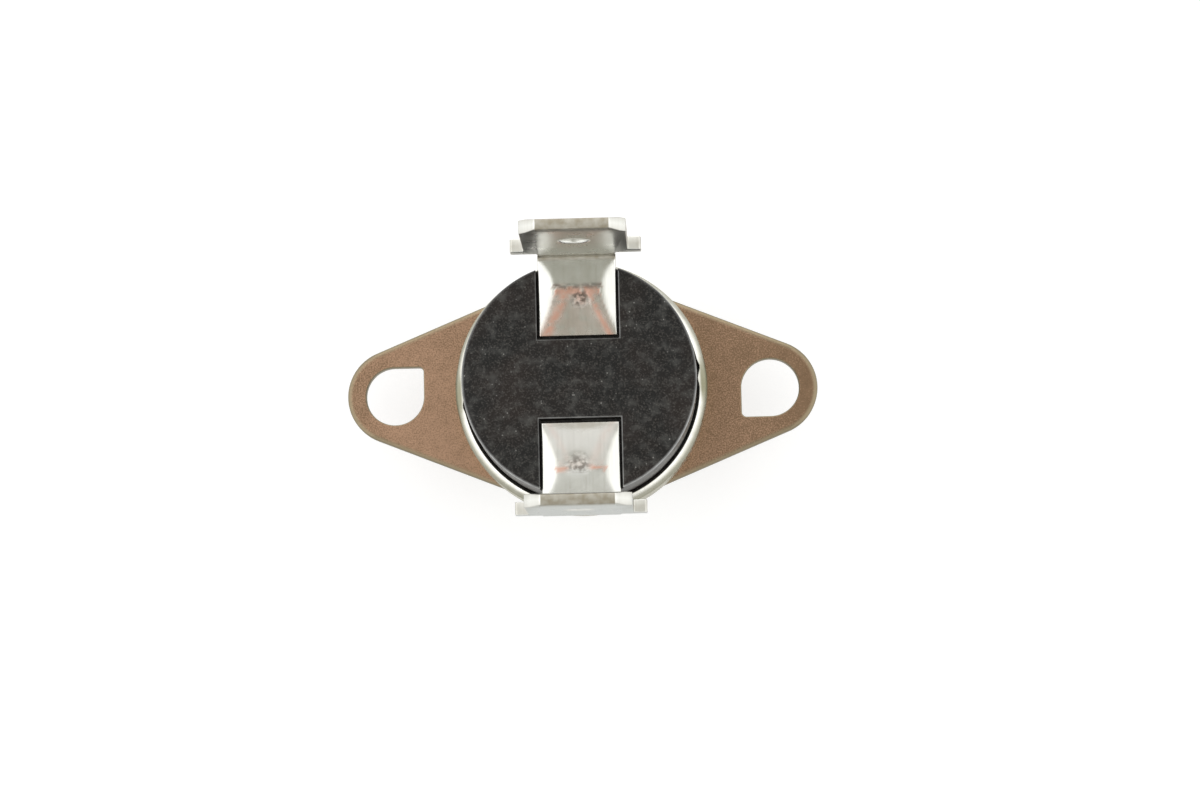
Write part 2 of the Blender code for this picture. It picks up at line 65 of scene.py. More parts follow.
# Steps round a whole turn, for the rim, the other big rounds and the small ones.
RIM_STEPS = 240
ROUND_STEPS = 160
SMALL_STEPS = 40
# How far a cutting shape reaches past what it cuts, and the distance at which points count as one, in metres.
CUT_OVERRUN = 0.0005
MERGE = 1e-7


def linear(code):
    """Turns an sRGB hex colour into linear red, green and blue."""
    values = [int(code[i:i + 2], 16) / 255 for i in (0, 2, 4)]
    return tuple(v / 12.92 if v <= 0.04045 else ((v + 0.055) / 1.055) ** 2.4 for v in values)


def length(name, default, about):
    """A size property in metres."""
    return bpy.props.FloatProperty(
        name=name, description=about, default=default, min=0, precision=5, subtype="DISTANCE", unit="LENGTH"
    )


def angle(name, degrees, about):
    """An angle property, given in degrees."""
    return bpy.props.FloatProperty(name=name, description=about, default=math.radians(degrees), subtype="ANGLE")


def colour(name, default, about):
    """A colour property, given as sRGB hex."""
    return bpy.props.FloatVectorProperty(
        name=name, description=about, default=linear(default), size=3, min=0, max=1, subtype="COLOR"
    )


class FlangeSettings(bpy.types.PropertyGroup):
    pitch: length("Hole pitch", 0.0238, "Distance between the centres of the two screw holes")
    hole_radius: length("Hole radius", 0.00183, "Radius of a screw hole's round part")
    hole_corner: length("Hole corner", 0.0003, "Corner radius of the hole's squared quadrant")
    disc_inset: length("Disc inset", 0.0001, "How far the disc's edge hides under the collar")
    edge_inset: length("Edge inset", 0.00036, "How far the straight edges pass inside the disc's edge")
    bore_gap: length("Bore gap", 0.00005, "Clearance between the centre bore and the cap")
    roll: length("Die roll", 0.00034, "Width of the rounding that the punch leaves on the outer upper edge")
    roll_depth: bpy.props.FloatProperty(
        name="Roll depth",
        description="Depth of the die roll, as a share of its width",
        default=0.45,
        subtype="FACTOR",
    )
    burr: length("Burr rounding", 0.00008, "Rounding of the holes' edges and of the lower edges")
    coat: colour("Coat", "B29077", "Brown passivated film over the steel")
    # This colour also carries the painted shade that darkens the plate to the north-east.
    dark_coat_and_shade: colour("Dark coat", "846C55", "The film where it is thickest")
    # The olive on the rolled and cut edges is partly thin film and partly a painted reflection of the rounded
    # roll.
    edge: colour("Edge", "8A7F68", "Thin olive film on the rolled and cut edges")


class CapSettings(bpy.types.PropertyGroup):
    radius: length("Cup radius", 0.0073, "Outer radius below the flange")
    wall: length("Wall", 0.0004, "Thickness of the drawn wall")
    floor: length("Floor", 0.0006, "Thickness of the sensing face")
    corner: length("Corner", 0.0005, "Radius at the edge of the sensing face")
    lip: length("Lip", 0.00013, "How far the rolled rim reaches over the body")
    roll: length("Rim roll", 0.00056, "Outer radius of the rolled rim")
    turn: angle("Rim turn", 68, "How far the rim is rolled over")
    ledge: length("Ledge", 0.00045, "Height of the disc's ledge above the floor")
    bead: length("Bead", 0.00025, "How far the staking bead stands out under the flange")
    bead_height: length("Bead height", 0.0004, "Height of the staking bead")
    kink: length("Kink", 0.0001, "Sideways swing of the lip where the crimping jaws met")
    kink_drop: length("Kink drop", 0.00006, "How far the rim is pressed down there")
    bright: length("Bright lip", 0.00023, "Width of the rim's bright inner part")
    metal: colour("Metal", "F2F1EB", "Bright drawn aluminium")
    # The rim's olive outer part is partly roller dulling and partly painted shade, for its darker reflection.
    track: colour("Rollers' track", "86846E", "Outer part of the rim, dulled by the crimping rollers")


class BodySettings(bpy.types.PropertyGroup):
    radius: length("Radius", 0.00722, "Radius of the upper body")
    rim_gap: length("Rim gap", 0.00043, "Height of the rolled rim over the shoulder, with its clearance")
    chamfer: length("Chamfer", 0.0001, "Chamfer round the top face")
    pocket_margin: length("Pocket margin", 0.000125, "Clearance beside a terminal pad")
    foot_margin: length("Foot margin", 0.000215, "Clearance at a pad's inner end")
    pocket_edge: length("Pocket edge", 0.00007, "Rounding of the moulded edges")
    chamber: length("Chamber", 0.0018, "Half-width of the contact chamber")
    resin: colour("Resin", "0A0908", "Black phenolic moulding")
    scuff: colour("Scuff", "5C5954", "Filler that shows as a fine grain")
    # The colour of the painted highlight along the top chamfer and the pockets' edges.
    rim_highlight: colour("Rubbed rim", "C8C9C7", "The chamfer where it has been rubbed grey")


class TerminalSettings(bpy.types.PropertyGroup):
    sheet: length("Sheet", 0.0008, "Thickness of the terminal sheet")
    pad_width: length("Pad width", 0.0048, "Width of the foot pad")
    tab_width: length("Tab width", 0.00635, "Width of the quick-connect tab")
    tab_length: length("Tab length", 0.0079, "Length of the tab above its shoulder wings")
    wing_height: length("Wing height", 0.0011, "Height of the shoulder wings")
    bend: length("Bend radius", 0.0003, "Inner radius of the bend")
    tip_corner: length("Tip corner", 0.00095, "Chamfer at the tip's corners")
    tip_taper: length("Tip taper", 0.0006, "Length of the lead-in at the tip")
    tip_sheet: length("Tip thickness", 0.0006, "Thickness left at the tip")
    lean: angle("Lean", 0.6, "Springback of the fold")
    detent: length("Detent radius", 0.0009, "Radius of the detent hole")
    detent_drop: length("Detent drop", 0.0042, "Distance of the detent hole from the tip")
    detent_sink: length("Detent countersink", 0.00018, "Width of the pressed edge round the detent hole")
    edge: length("Edge rounding", 0.00006, "Rounding of the sheared edges")
    side_width: length("Side width", 0.00115, "Width of the pad's sloping sides at the crease")
    side_slope: angle("Side slope", 12, "Slope of the pad's sides")
    rise: angle("Rise", 3.2, "Slope of the pad towards its bend")
    foot_slope: angle("Foot slope", 5, "Slope of the pad at its inner end")
    pinch: length("Pinch", 0.00007, "Depth of the groove in the wings' sheared ends")
    foot_wear: length("Foot wear", 0.00056, "How far the worn patch reaches in from the pad's end")
    plate: colour("Plate", "DFDFD9", "Bright tin plate")
    tint: colour("Tint", "DB9A7E", "Copper tint round the weld")
    brass: colour("Brass", "979080", "Brass that shows at sheared edges")


class PinSettings(bpy.types.PropertyGroup):
    dome: length("Dome radius", 0.0013, "Radius of the pin's domed ends, on which the arm rolls as it lifts")
    corner: length("End rounding", 0.0001, "Rounding between a domed end and the pin's side")
    ceramic: colour("Ceramic", "E8E3D6", "Fired ceramic")


class StageSettings(bpy.types.PropertyGroup):
    distance: length("Camera distance", 0.2279, "From the camera to the flange's upper face")
    lens: bpy.props.FloatProperty(name="Lens", description="Focal length", default=107.8, unit="CAMERA")
    tilt: angle("Tilt", 5.84, "Lean to the south")
    pan: angle("Pan", 1.06, "Lean to the east")
    roll: angle("Roll", 1.33, "Turn about the view")
    shift_x: bpy.props.FloatProperty(
        name="Shift X", description="Camera's place across the view", default=0.00111, unit="LENGTH"
    )
    shift_y: bpy.props.FloatProperty(
        name="Shift Y", description="Camera's place up the view", default=-0.00042, unit="LENGTH"
    )
    paper: colour("Paper", "B4B4B2", "White card under the switch")


def add(tree, kind, inputs=None, **settings):
    """Adds a shader node with its settings.

    An input takes a value, a socket, or a node, whose first live output feeds it.
    """
    made = tree.nodes.new("ShaderNode" + kind)
    for name, value in settings.items():
        setattr(made, name, value)
    for name, value in (inputs or {}).items():
        by_name = [socket for socket in made.inputs if socket.name == name and socket.enabled]
        socket = by_name[0] if by_name else made.inputs[name]
        if isinstance(value, bpy.types.Node):
            value = next(output for output in value.outputs if output.enabled)
        if isinstance(value, bpy.types.NodeSocket):
            tree.links.new(value, socket)
        elif socket.type == "RGBA":
            socket.default_value = (*value, 1)
        else:
            socket.default_value = value
    return made


def per(millimetres):
    """The scale at which one period of a pattern is about this long, for coordinates in metres."""
    return 1000 / millimetres


def material(name):
    """An empty node material."""
    mat = bpy.data.materials.new(name)
    mat.use_nodes = True
    mat.node_tree.nodes.clear()
    return mat, mat.node_tree


def surfaced(mat, inputs, relief, depth):
    """Gives a material its surface, raised by a pattern to a depth in metres."""
    tree = mat.node_tree
    bump = add(tree, "Bump", {"Height": relief, "Strength": 1.0, "Distance": depth})
    shader = add(tree, "BsdfPrincipled", {**inputs, "Normal": bump})
    add(tree, "OutputMaterial", {"Surface": shader})
    return mat


def passivated_steel(settings):
    """Cold-rolled steel plate, punched and passivated.

    To the eye it is a satin brown film with a fine speckle, darker in patches and at the ears' ends, with painted
    shade that darkens it to the north-east, and olive on the rolled and cut edges, partly thin film and partly a
    painted reflection.
    """
    mat, tree = material("passivated_steel")
    where = add(tree, "TexCoord").outputs["Object"]
    # The real speckle is about 0.03 mm, too fine to show, so it is drawn three times as coarse.
    speckle = add(tree, "TexNoise", {"Vector": where, "Scale": per(0.09), "Detail": 2.0})
    cloud = add(tree, "TexNoise", {"Vector": where, "Scale": per(2.4), "Detail": 4.0})
    place = add(tree, "SeparateXYZ", {"Vector": where}).outputs
    # Painted shade: the plate is darkened to the north-east, where less light falls on it.
    painted_shade_north_east = add(tree, "Math", {0: place["Y"], 1: 1.4, 2: place["X"]}, operation="MULTIPLY_ADD")
    half = settings.pitch / 2
    film_and_shade = {"Value": painted_shade_north_east, "From Min": -half, "From Max": half, "To Max": 0.62}
    film_and_shade = add(tree, "MapRange", film_and_shade)
    outward = add(tree, "Math", {0: place["X"]}, operation="ABSOLUTE")
    end = {"Value": outward, "From Min": half - 0.0005, "From Max": half + 0.0025, "To Max": 0.4}
    film_and_shade = add(tree, "Math", {0: film_and_shade, 1: add(tree, "MapRange", end)})
    patches = {"Value": cloud, "From Min": 0.35, "From Max": 0.8, "To Max": 0.3}
    film_and_shade = add(tree, "Math", {0: film_and_shade, 1: add(tree, "MapRange", patches)})
    fine = {"Value": speckle, "From Min": 0.34, "From Max": 0.7, "To Min": 0.62, "To Max": -0.62}
    film_and_shade = add(tree, "Math", {0: film_and_shade, 1: add(tree, "MapRange", fine)}, use_clamp=True)
    # Olive on the edges, set by how far the surface tilts: thin film on the cut walls, painted reflection on the
    # rounded roll.
    bare_and_painted_reflection = add(tree, "Attribute", attribute_name="cut").outputs["Fac"]
    film = tuple(settings.coat)
    for share, over in (film_and_shade, settings.dark_coat_and_shade), (bare_and_painted_reflection, settings.edge):
        film = add(tree, "Mix", {"Factor": share, "A": film, "B": tuple(over)}, data_type="RGBA")
    rolled = add(tree, "TexNoise", {"Vector": where, "Scale": per(0.5), "Detail": 3.0})
    satin = {"Value": rolled, "From Min": 0.3, "From Max": 0.7, "To Min": 0.32, "To Max": 0.44}
    inputs = {"Base Color": film, "Metallic": 1.0, "Roughness": add(tree, "MapRange", satin)}
    return surfaced(mat, inputs, speckle, 4e-6)


def drawn_aluminium(settings):
    """Aluminium drawn in a die, then crimped by rollers.

    To the eye it is bright metal with faint upright draw lines on its walls, dulled along the track that the
    rollers left on the rim, where painted shade turns it olive, less to the north and more at the kinks.
    """
    mat, tree = material("drawn_aluminium")
    where = add(tree, "TexCoord").outputs["Object"]
    upright = add(tree, "Mapping", {"Vector": where, "Scale": (1, 1, 0.06)})
    lines = add(tree, "TexNoise", {"Vector": upright, "Scale": per(0.12), "Detail": 2.0})
    smear = add(tree, "Mapping", {"Vector": where, "Scale": (1, 1, 0.25)})
    worn = add(tree, "TexNoise", {"Vector": smear, "Scale": per(0.5), "Detail": 4.0})
    worn = add(tree, "MapRange", {"Value": worn, "From Min": 0.4, "From Max": 0.75, "To Max": 0.35})
    # This mark is roller dulling in the roughness and painted shade in the colour.
    track = add(tree, "Attribute", attribute_name="track").outputs["Fac"]
    shade = tuple(settings.metal)
    for share, over in (worn, linear("AEAA9A")), (track, tuple(settings.track)):
        shade = add(tree, "Mix", {"Factor": share, "A": shade, "B": over}, data_type="RGBA")
    rough = {"Value": lines, "From Min": 0.3, "From Max": 0.75, "To Min": 0.15, "To Max": 0.3}
    rough = add(tree, "MapRange", rough)
    rough = add(tree, "Math", {0: track, 1: 0.12, 2: rough}, operation="MULTIPLY_ADD")
    inputs = {"Base Color": shade, "Metallic": 1.0, "Roughness": rough, "Specular Tint": linear("E0DED2")}
    return surfaced(mat, inputs, lines, 1.5e-6)


def moulded_phenolic(settings):
    """Mineral-filled phenolic from a polished mould.

    To the eye it is near black and half glossy, with a fine grey and brown grain of filler, cloudy grey patches,
    a little dust, and a painted grey highlight along its edges.
    """
    mat, tree = material("moulded_phenolic")
    where = add(tree, "TexCoord").outputs["Object"]
    # The filler's grain is about 0.05 mm, and is drawn twice as coarse so that it shows.
    grain = add(tree, "TexNoise", {"Vector": where, "Scale": per(0.1), "Detail": 3.0})
    mottle = add(tree, "TexNoise", {"Vector": where, "Scale": per(0.7), "Detail": 5.0})
    flow = add(tree, "TexNoise", {"Vector": where, "Scale": per(3.0), "Detail": 3.0})
    brown = add(tree, "MapRange", {"Value": flow, "From Min": 0.4, "From Max": 0.65})
    filler = add(tree, "MapRange", {"Value": grain, "From Min": 0.5, "From Max": 0.72, "To Max": 0.52})
    bloom = add(tree, "MapRange", {"Value": mottle, "From Min": 0.5, "From Max": 0.72, "To Max": 0.4})
    dust = add(tree, "TexVoronoi", {"Vector": where, "Scale": per(0.34)})
    dust = add(tree, "MapRange", {"Value": dust, "From Min": 0.17, "From Max": 0.06, "To Max": 0.7})
    sparse = add(tree, "MapRange", {"Value": mottle, "From Min": 0.5, "From Max": 0.6})
    dust = add(tree, "Math", {0: dust, 1: sparse}, operation="MULTIPLY")
    # Painted highlight on the edges, broken up by the mottle.
    rim = add(tree, "Attribute", attribute_name="rim").outputs["Fac"]
    uneven = {"Value": mottle, "From Min": 0.3, "From Max": 0.6, "To Min": 0.6, "To Max": 1.0}
    rim_highlight = add(tree, "Math", {0: rim, 1: add(tree, "MapRange", uneven)}, operation="MULTIPLY")
    layers = (brown, linear("1D1511")), (filler, tuple(settings.scuff)), (bloom, linear("5B5B57"))
    layers += (dust, linear("9C9A95")), (rim_highlight, tuple(settings.rim_highlight))
    tone = tuple(settings.resin)
    for share, over in layers:
        tone = add(tree, "Mix", {"Factor": share, "A": tone, "B": over}, data_type="RGBA")
    gloss = {"Value": mottle, "From Min": 0.35, "From Max": 0.7, "To Min": 0.3, "To Max": 0.42}
    inputs = {"Base Color": tone, "Roughness": add(tree, "MapRange", gloss), "IOR": 1.4}
    return surfaced(mat, inputs, mottle, 3e-6)


# What a terminal's points carry: the copper tint, the mark along the crease, the weld, and sheared or worn brass,
# with a painted reflection along the bend.
TERMINAL_MARKS = ("copper", "seam", "weld", "cut")

# What differs between the two terminals: their turn about Z, how much farther out the fold is, where the crease
# crosses the pad, as a share of its flat, where the weld lies, as a share of the way to the crease, the weld's
# radius, how far it scorched the pad, and the colour at a glancing angle.
Terminal = namedtuple("Terminal", "name node turn reach crease weld_at weld scorch sheen")
TERMINALS = (
    Terminal("contact_tab", "contact_terminal", 0, 0, 0.67, 0.76, 0.00056, 0.75, "FFFFFF"),
    # The arm tab's darker glancing colour is painted shade, for the shaded card that its outer face mirrors.
    Terminal("arm_tab", "arm_terminal", math.pi, 0.00009, 0.63, 0.9, 0.00074, 0.15, "E2E5E6"),
)


def tin_plate(settings, one):
    """Tin rolled bright on brass strip, then punched, folded and welded.

    To the eye it is a soft and slightly wavy mirror, copper pink and burnt round the weld, and warmer and duller
    where the brass was sheared or shows through, and along the bend's inner face, where that colour is a painted
    reflection.
    """
    mat, tree = material("tinned_brass_" + one.name)
    scorch = one.scorch
    where = add(tree, "TexCoord").outputs["Object"]
    marks = [add(tree, "Attribute", attribute_name=mark).outputs["Fac"] for mark in TERMINAL_MARKS]
    # The sheared mark also holds the painted reflection along the bend's inner face.
    copper, seam, weld, sheared = marks
    sizes = (0.1, 3.0), (0.28, 4.0), (0.5, 5.0), (0.9, 2.0)
    grain, patch, cloud, wave = [
        add(tree, "TexNoise", {"Vector": where, "Scale": per(size), "Detail": detail}) for size, detail in sizes
    ]
    broken = {"Value": cloud, "From Min": 0.2, "From Max": 0.5, "To Max": scorch}
    pink = add(tree, "Math", {0: copper, 1: add(tree, "MapRange", broken)}, operation="MULTIPLY")
    line = {"Value": wave, "From Min": 0.34, "From Max": 0.5, "To Max": 1 - scorch}
    line = add(tree, "Math", {0: seam, 1: add(tree, "MapRange", line)}, operation="MULTIPLY")
    pink = add(tree, "Math", {0: pink, 1: line}, operation="MAXIMUM")
    # Rolling lines run along the strip, so up the tab and along the pad. They are drawn about twice too coarse.
    strip = add(tree, "Mapping", {"Vector": where, "Scale": (1, 0.05, 0.05)})
    lines = add(tree, "TexNoise", {"Vector": strip, "Scale": per(0.14), "Detail": 3.0})
    rolled = add(tree, "MapRange", {"Value": lines, "From Min": 0.45, "From Max": 0.75, "To Max": 0.16})
    burnt = add(tree, "Math", {0: seam, 1: scorch}, operation="MULTIPLY")
    burnt = add(tree, "Math", {0: burnt, 1: weld}, operation="MAXIMUM")
    burn = {"Value": patch, "From Min": 0.4, "From Max": 0.58, "To Min": 0.1, "To Max": 0.7 + 0.3 * scorch}
    soot = add(tree, "Math", {0: burnt, 1: add(tree, "MapRange", burn)}, operation="MULTIPLY")
    bare_and_painted_reflection = {"Value": cloud, "From Min": 0.35, "From Max": 0.65, "To Min": 0.7, "To Max": 1.0}
    bare_and_painted_reflection = add(tree, "Math", {0: sheared, 1: add(tree, "MapRange", bare_and_painted_reflection)}, operation="MULTIPLY")
    layers = (rolled, linear("B5B2A6")), (pink, tuple(settings.tint))
    layers += (soot, linear("5B5249")), (bare_and_painted_reflection, tuple(settings.brass))
    shade = tuple(settings.plate)
    for share, over in layers:
        shade = add(tree, "Mix", {"Factor": share, "A": shade, "B": over}, data_type="RGBA")
    rough = {"Value": wave, "From Min": 0.3, "From Max": 0.7, "To Min": 0.17, "To Max": 0.25}
    rough = add(tree, "MapRange", rough)
    # The upright tab, which receptacles rub, is duller than the pad.
    up = add(tree, "SeparateXYZ", {"Vector": where}).outputs["Z"]
    low, high = BODY_HIGH.z + settings.bend, BODY_HIGH.z + 3 * settings.bend
    rub = add(tree, "MapRange", {"Value": up, "From Min": low, "From Max": high, "To Max": 0.09})
    rough = add(tree, "Math", {0: rough, 1: rub})
    for mark, more in (sheared, 0.2), (weld, 0.15), (pink, 0.18):
        rough = add(tree, "Math", {0: mark, 1: more, 2: rough}, operation="MULTIPLY_ADD")
    struck = add(tree, "Math", {0: copper, 1: scorch}, operation="MULTIPLY")
    struck = add(tree, "Math", {0: struck, 1: weld}, operation="MAXIMUM")
    struck = add(tree, "Math", {0: struck, 1: patch}, operation="MULTIPLY")
    # Heights in thousandths of a millimetre: grain, long waves, lines, and dents where the weld was struck.
    height = grain
    for form, depth in (wave, 9.0), (lines, 0.4), (struck, 16.0 + 12.0 * scorch):
        height = add(tree, "Math", {0: form, 1: depth, 2: height}, operation="MULTIPLY_ADD")
    inputs = {"Base Color": shade, "Metallic": 1.0, "Roughness": rough, "Specular Tint": linear(one.sheen)}
    return surfaced(mat, inputs, height, 1e-6)


def inner_metal(name, base, roughness):
    """Rolled strip or turned metal, shut inside: to the eye clean, with a fine lengthwise grain."""
    mat, tree = material(name)
    where = add(tree, "TexCoord").outputs["Object"]
    lengthwise = add(tree, "Mapping", {"Vector": where, "Scale": (1, 0.15, 1)})
    grain = add(tree, "TexNoise", {"Vector": lengthwise, "Scale": per(0.08), "Detail": 3.0})
    swing = 0.08
    rough = {"Value": grain, "From Min": 0.3, "From Max": 0.7}
    rough = {**rough, "To Min": roughness - swing, "To Max": roughness + swing}
    share = add(tree, "MapRange", {"Value": grain, "From Min": 0.4, "From Max": 0.8, "To Max": 0.4})
    tarnish = {"Factor": share, "A": base, "B": [value * 0.7 for value in base]}
    tone = add(tree, "Mix", tarnish, data_type="RGBA")
    inputs = {"Base Color": tone, "Metallic": 1.0, "Roughness": add(tree, "MapRange", rough)}
    return surfaced(mat, inputs, grain, 1e-6)


def inner_moulding(name, base, roughness):
    """Moulding or fired ceramic, shut inside: to the eye even and matt, with a fine grain."""
    mat, tree = material(name)
    where = add(tree, "TexCoord").outputs["Object"]
    grain = add(tree, "TexNoise", {"Vector": where, "Scale": per(0.15), "Detail": 4.0})
    share = add(tree, "MapRange", {"Value": grain, "From Min": 0.3, "From Max": 0.7})
    tone = {"Factor": share, "A": [value * 0.8 for value in base], "B": base}
    tone = add(tree, "Mix", tone, data_type="RGBA")
    return surfaced(mat, {"Base Color": tone, "Roughness": roughness}, grain, 2e-6)


# Angles between faces: past CREASE an edge is shaded sharp, past CORNER it is rounded, past SHARP it is shaded
# sharp on a piece with rounded edges, and below LEVEL two faces count as one flat.
CREASE, CORNER, SHARP, LEVEL = (math.radians(turn) for turn in (30, 40, 50, 0.5))
# Steps across a rounded edge.
EDGE_STEPS = 3


def clamped(value):
    """Keeps a value between 0 and 1."""
    return min(max(value, 0), 1)


def bell(off, width):
    """1 in the middle, and almost nothing past twice the width."""
    return math.exp(-((off / width) ** 2))


def arc(centre, radius, start, end, steps):
    """Points on a circle's arc, with angles in degrees."""
    points = []
    for i in range(steps + 1):
        turn = math.radians(start + (end - start) * i / steps)
        points.append((centre[0] + radius * math.cos(turn), centre[1] + radius * math.sin(turn)))
    return points


def turned(outline, steps=ROUND_STEPS):
    """Spins an outline of (radius, height) points round Z."""
    bm = bmesh.new()
    verts = [bm.verts.new((r, 0, z)) for r, z in outline]
    edges = [bm.edges.new(pair) for pair in zip(verts, verts[1:])]
    bmesh.ops.spin(
        bm, geom=verts + edges, cent=(0, 0, 0), axis=(0, 0, 1), angle=2 * math.pi, steps=steps, use_merge=True
    )
    bmesh.ops.remove_doubles(bm, verts=bm.verts, dist=MERGE)
    return bm


def raised(outline, bottom, top):
    """Raises a flat outline of (x, y) points between two heights."""
    bm = bmesh.new()
    face = bm.faces.new([bm.verts.new((x, y, bottom)) for x, y in outline])
    result = bmesh.ops.extrude_face_region(bm, geom=[face])
    moved = [v for v in result["geom"] if isinstance(v, bmesh.types.BMVert)]
    bmesh.ops.translate(bm, verts=moved, vec=(0, 0, top - bottom))
    return bm


def block(x, y, z):
    """A box between the two values of each pair."""
    return raised([(x[0], y[0]), (x[1], y[0]), (x[1], y[1]), (x[0], y[1])], z[0], z[1])


def rod(radius, bottom, top):
    """A small round rod on the Z axis."""
    return turned([(0, bottom), (radius, bottom), (radius, top), (0, top)], SMALL_STEPS)


def placed(bm, matrix):
    """Moves or turns a mesh."""
    bmesh.ops.transform(bm, matrix=matrix, verts=bm.verts)
    return bm


def linked(name, data):
    """An object in the scene, for a mesh, a lamp or a camera."""
    obj = bpy.data.objects.new(name, data)
    bpy.context.scene.collection.objects.link(obj)
    return obj


def to_object(name, bm, mat=None):
    """Makes a mesh an object in the scene, with its faces outwards and smooth between its creases."""
    bmesh.ops.recalc_face_normals(bm, faces=bm.faces)
    mesh = bpy.data.meshes.new(name)
    bm.to_mesh(mesh)
    bm.free()
    mesh.shade_smooth()
    mesh.set_sharp_from_angle(angle=CREASE)
    if mat:
        mesh.materials.append(mat)
    return linked(name, mesh)


def settle(obj):
    """Turns an object's modifiers into its own mesh."""
    graph = bpy.context.evaluated_depsgraph_get()
    mesh = bpy.data.meshes.new_from_object(obj.evaluated_get(graph))
    obj.modifiers.clear()
    obj.data = mesh


def cut_away(obj, tools):
    """Cuts an object with closed meshes, in order, and removes them."""
    made = []
    for bm in tools:
        tool = to_object("tool", bm)
        mod = obj.modifiers.new("cut", "BOOLEAN")
        mod.operation = "DIFFERENCE"
        mod.object = tool
        mod.solver = "EXACT"
        made.append(tool)
    settle(obj)
    for tool in made:
        bpy.data.objects.remove(tool, do_unlink=True)


def sharp_edges(bm):
    """The edges that a bevel rounds."""
    return [e for e in bm.edges if e.is_manifold and e.calc_face_angle() > CORNER]


def bevelled(bm, edges, width, within=False):
    """Rounds edges, and if asked keeps the roundings from running into each other."""
    form = {"segments": EDGE_STEPS, "profile": 0.5, "affect": "EDGES", "material": -1}
    bmesh.ops.bevel(bm, geom=edges, offset=width, clamp_overlap=within, **form)


def round_edges(obj, width, above=0):
    """Makes the flats whole, and rounds the sharp edges above a height."""
    bm = bmesh.new()
    bm.from_mesh(obj.data)
    bmesh.ops.dissolve_limit(bm, angle_limit=LEVEL, verts=bm.verts, edges=bm.edges)
    bevelled(bm, [e for e in sharp_edges(bm) if min(v.co.z for v in e.verts) > above], width)
    bm.to_mesh(obj.data)
    bm.free()


def dress(obj, mat):
    """Smooths the shading over rounded edges, keeps it level on the flats beside them, and gives the material."""
    obj.data.shade_smooth()
    obj.data.set_sharp_from_angle(angle=SHARP)
    even = obj.modifiers.new("even_shading", "WEIGHTED_NORMAL")
    even.keep_sharp = True
    even.weight = 100
    obj.data.materials.clear()
    obj.data.materials.append(mat)


# The normal's Z where the plate's surface counts as its edge, and where it counts as its flat.
EDGE_NORMAL, FLAT_NORMAL = 0.955, 0.9905


def mark_slope(obj):
    """Writes, point by point, how far the plate's surface turns away from its flat."""
    # This mark tints the edges olive: thin film on the cut walls, and a painted reflection on the rounded die
    # roll.
    mark = obj.data.attributes.new("cut", "FLOAT", "POINT")
    for vert, value in zip(obj.data.vertices, mark.data):
        value.value = clamped((FLAT_NORMAL - abs(vert.normal.z)) / (FLAT_NORMAL - EDGE_NORMAL))


def flange_outline(settings):
    """Two ears joined by straight edges to a disc that shows round the collar."""
    ear_x = settings.pitch / 2
    ear = FLANGE_HIGH.x - ear_x
    disc = FLANGE_HIGH.y - settings.disc_inset
    edge = disc - settings.edge_inset
    taper = math.asin((edge - ear) / ear_x)
    meeting = math.degrees(math.pi / 2 - taper - math.acos(edge / disc))
    ear_end = 90 - math.degrees(taper)
    points = []
    for side in (0, 180):
        ear_centre = (ear_x if side == 0 else -ear_x, 0)
        points += arc(ear_centre, ear, side - ear_end, side + ear_end, 40)
        points += arc((0, 0), disc, side + meeting, side + 180 - meeting, 60)
    return points


def screw_hole(settings):
    """A round hole with the quadrant towards +X and +Y squared off."""
    r, corner = settings.hole_radius, settings.hole_corner
    points = arc((0, 0), r, 90, 360, 54) + arc((r - corner, r - corner), corner, 0, 90, 8)
    return raised(points, FLANGE_LOW.z - CUT_OVERRUN, FLANGE_HIGH.z + CUT_OVERRUN)


# The rounding of the rim's nose and the reach of the disc's ledge in from the cup's side, both in walls, and the
# clearance round the flange, as a share of the staking bead.
NOSE, LEDGE_REACH, FLANGE_GAP = 0.15, 3.6, 1 / 8


def cap_section(settings):
    """Section of the drawn cup: sensing face, bead, collar, rolled rim, and down again inside."""
    radius, wall, corner, roll = settings.radius, settings.wall, settings.corner, settings.roll
    collar, rim = CAP_HIGH.x, CAP_HIGH.z
    inner = collar - wall
    under, over = FLANGE_LOW.z, FLANGE_HIGH.z
    gap = settings.bead * FLANGE_GAP
    points = [(0, 0)] + arc((radius - corner, corner), corner, -90, 0, 8)
    points += [(radius, under - gap), (radius + settings.bead, under)]
    points += [(radius, under + settings.bead_height - gap), (radius, over - gap)]
    points += arc((radius + gap, over), gap, 180, 90, 3)
    points += arc((collar - wall / 4, over + gap + wall / 4), wall / 4, -90, 0, 5)
    turn = settings.turn
    nose = wall * NOSE
    lip = inner - settings.lip
    run = collar - roll * (1 - math.cos(turn)) - (lip + nose + nose * math.cos(turn))
    arc_end = rim - nose * (1 - math.sin(turn)) - run / math.tan(turn)
    points += arc((collar - roll, arc_end - roll * math.sin(turn)), roll, 0, math.degrees(turn), 18)
    points += arc((lip + nose, rim - nose), nose, math.degrees(turn), 180, 6)
    points += [(lip, rim - wall), (inner, rim - wall)]
    points += [(inner, over + gap + wall), (radius - wall, over + gap + wall)]
    ledge = settings.floor + settings.ledge
    ledge_inner = radius - LEDGE_REACH * wall
    points += [(radius - wall, ledge), (ledge_inner, ledge), (ledge_inner, settings.floor), (0, settings.floor)]
    return points


# Where the crimping jaws met: degrees round from +X, and how strongly the rim was pressed there, as a share.
KINKS = ((2.5, 1.0), (182.4, 0.8))
# How dull the cup's drawn walls are, as a share of the rollers' track.
WALL_DULLNESS = 0.34


def degrees_past(co, at):
    """How many degrees round a point lies past a place on the rim, from -180 to 180."""
    return (math.degrees(math.atan2(co.y, co.x)) - at + 180) % 360 - 180


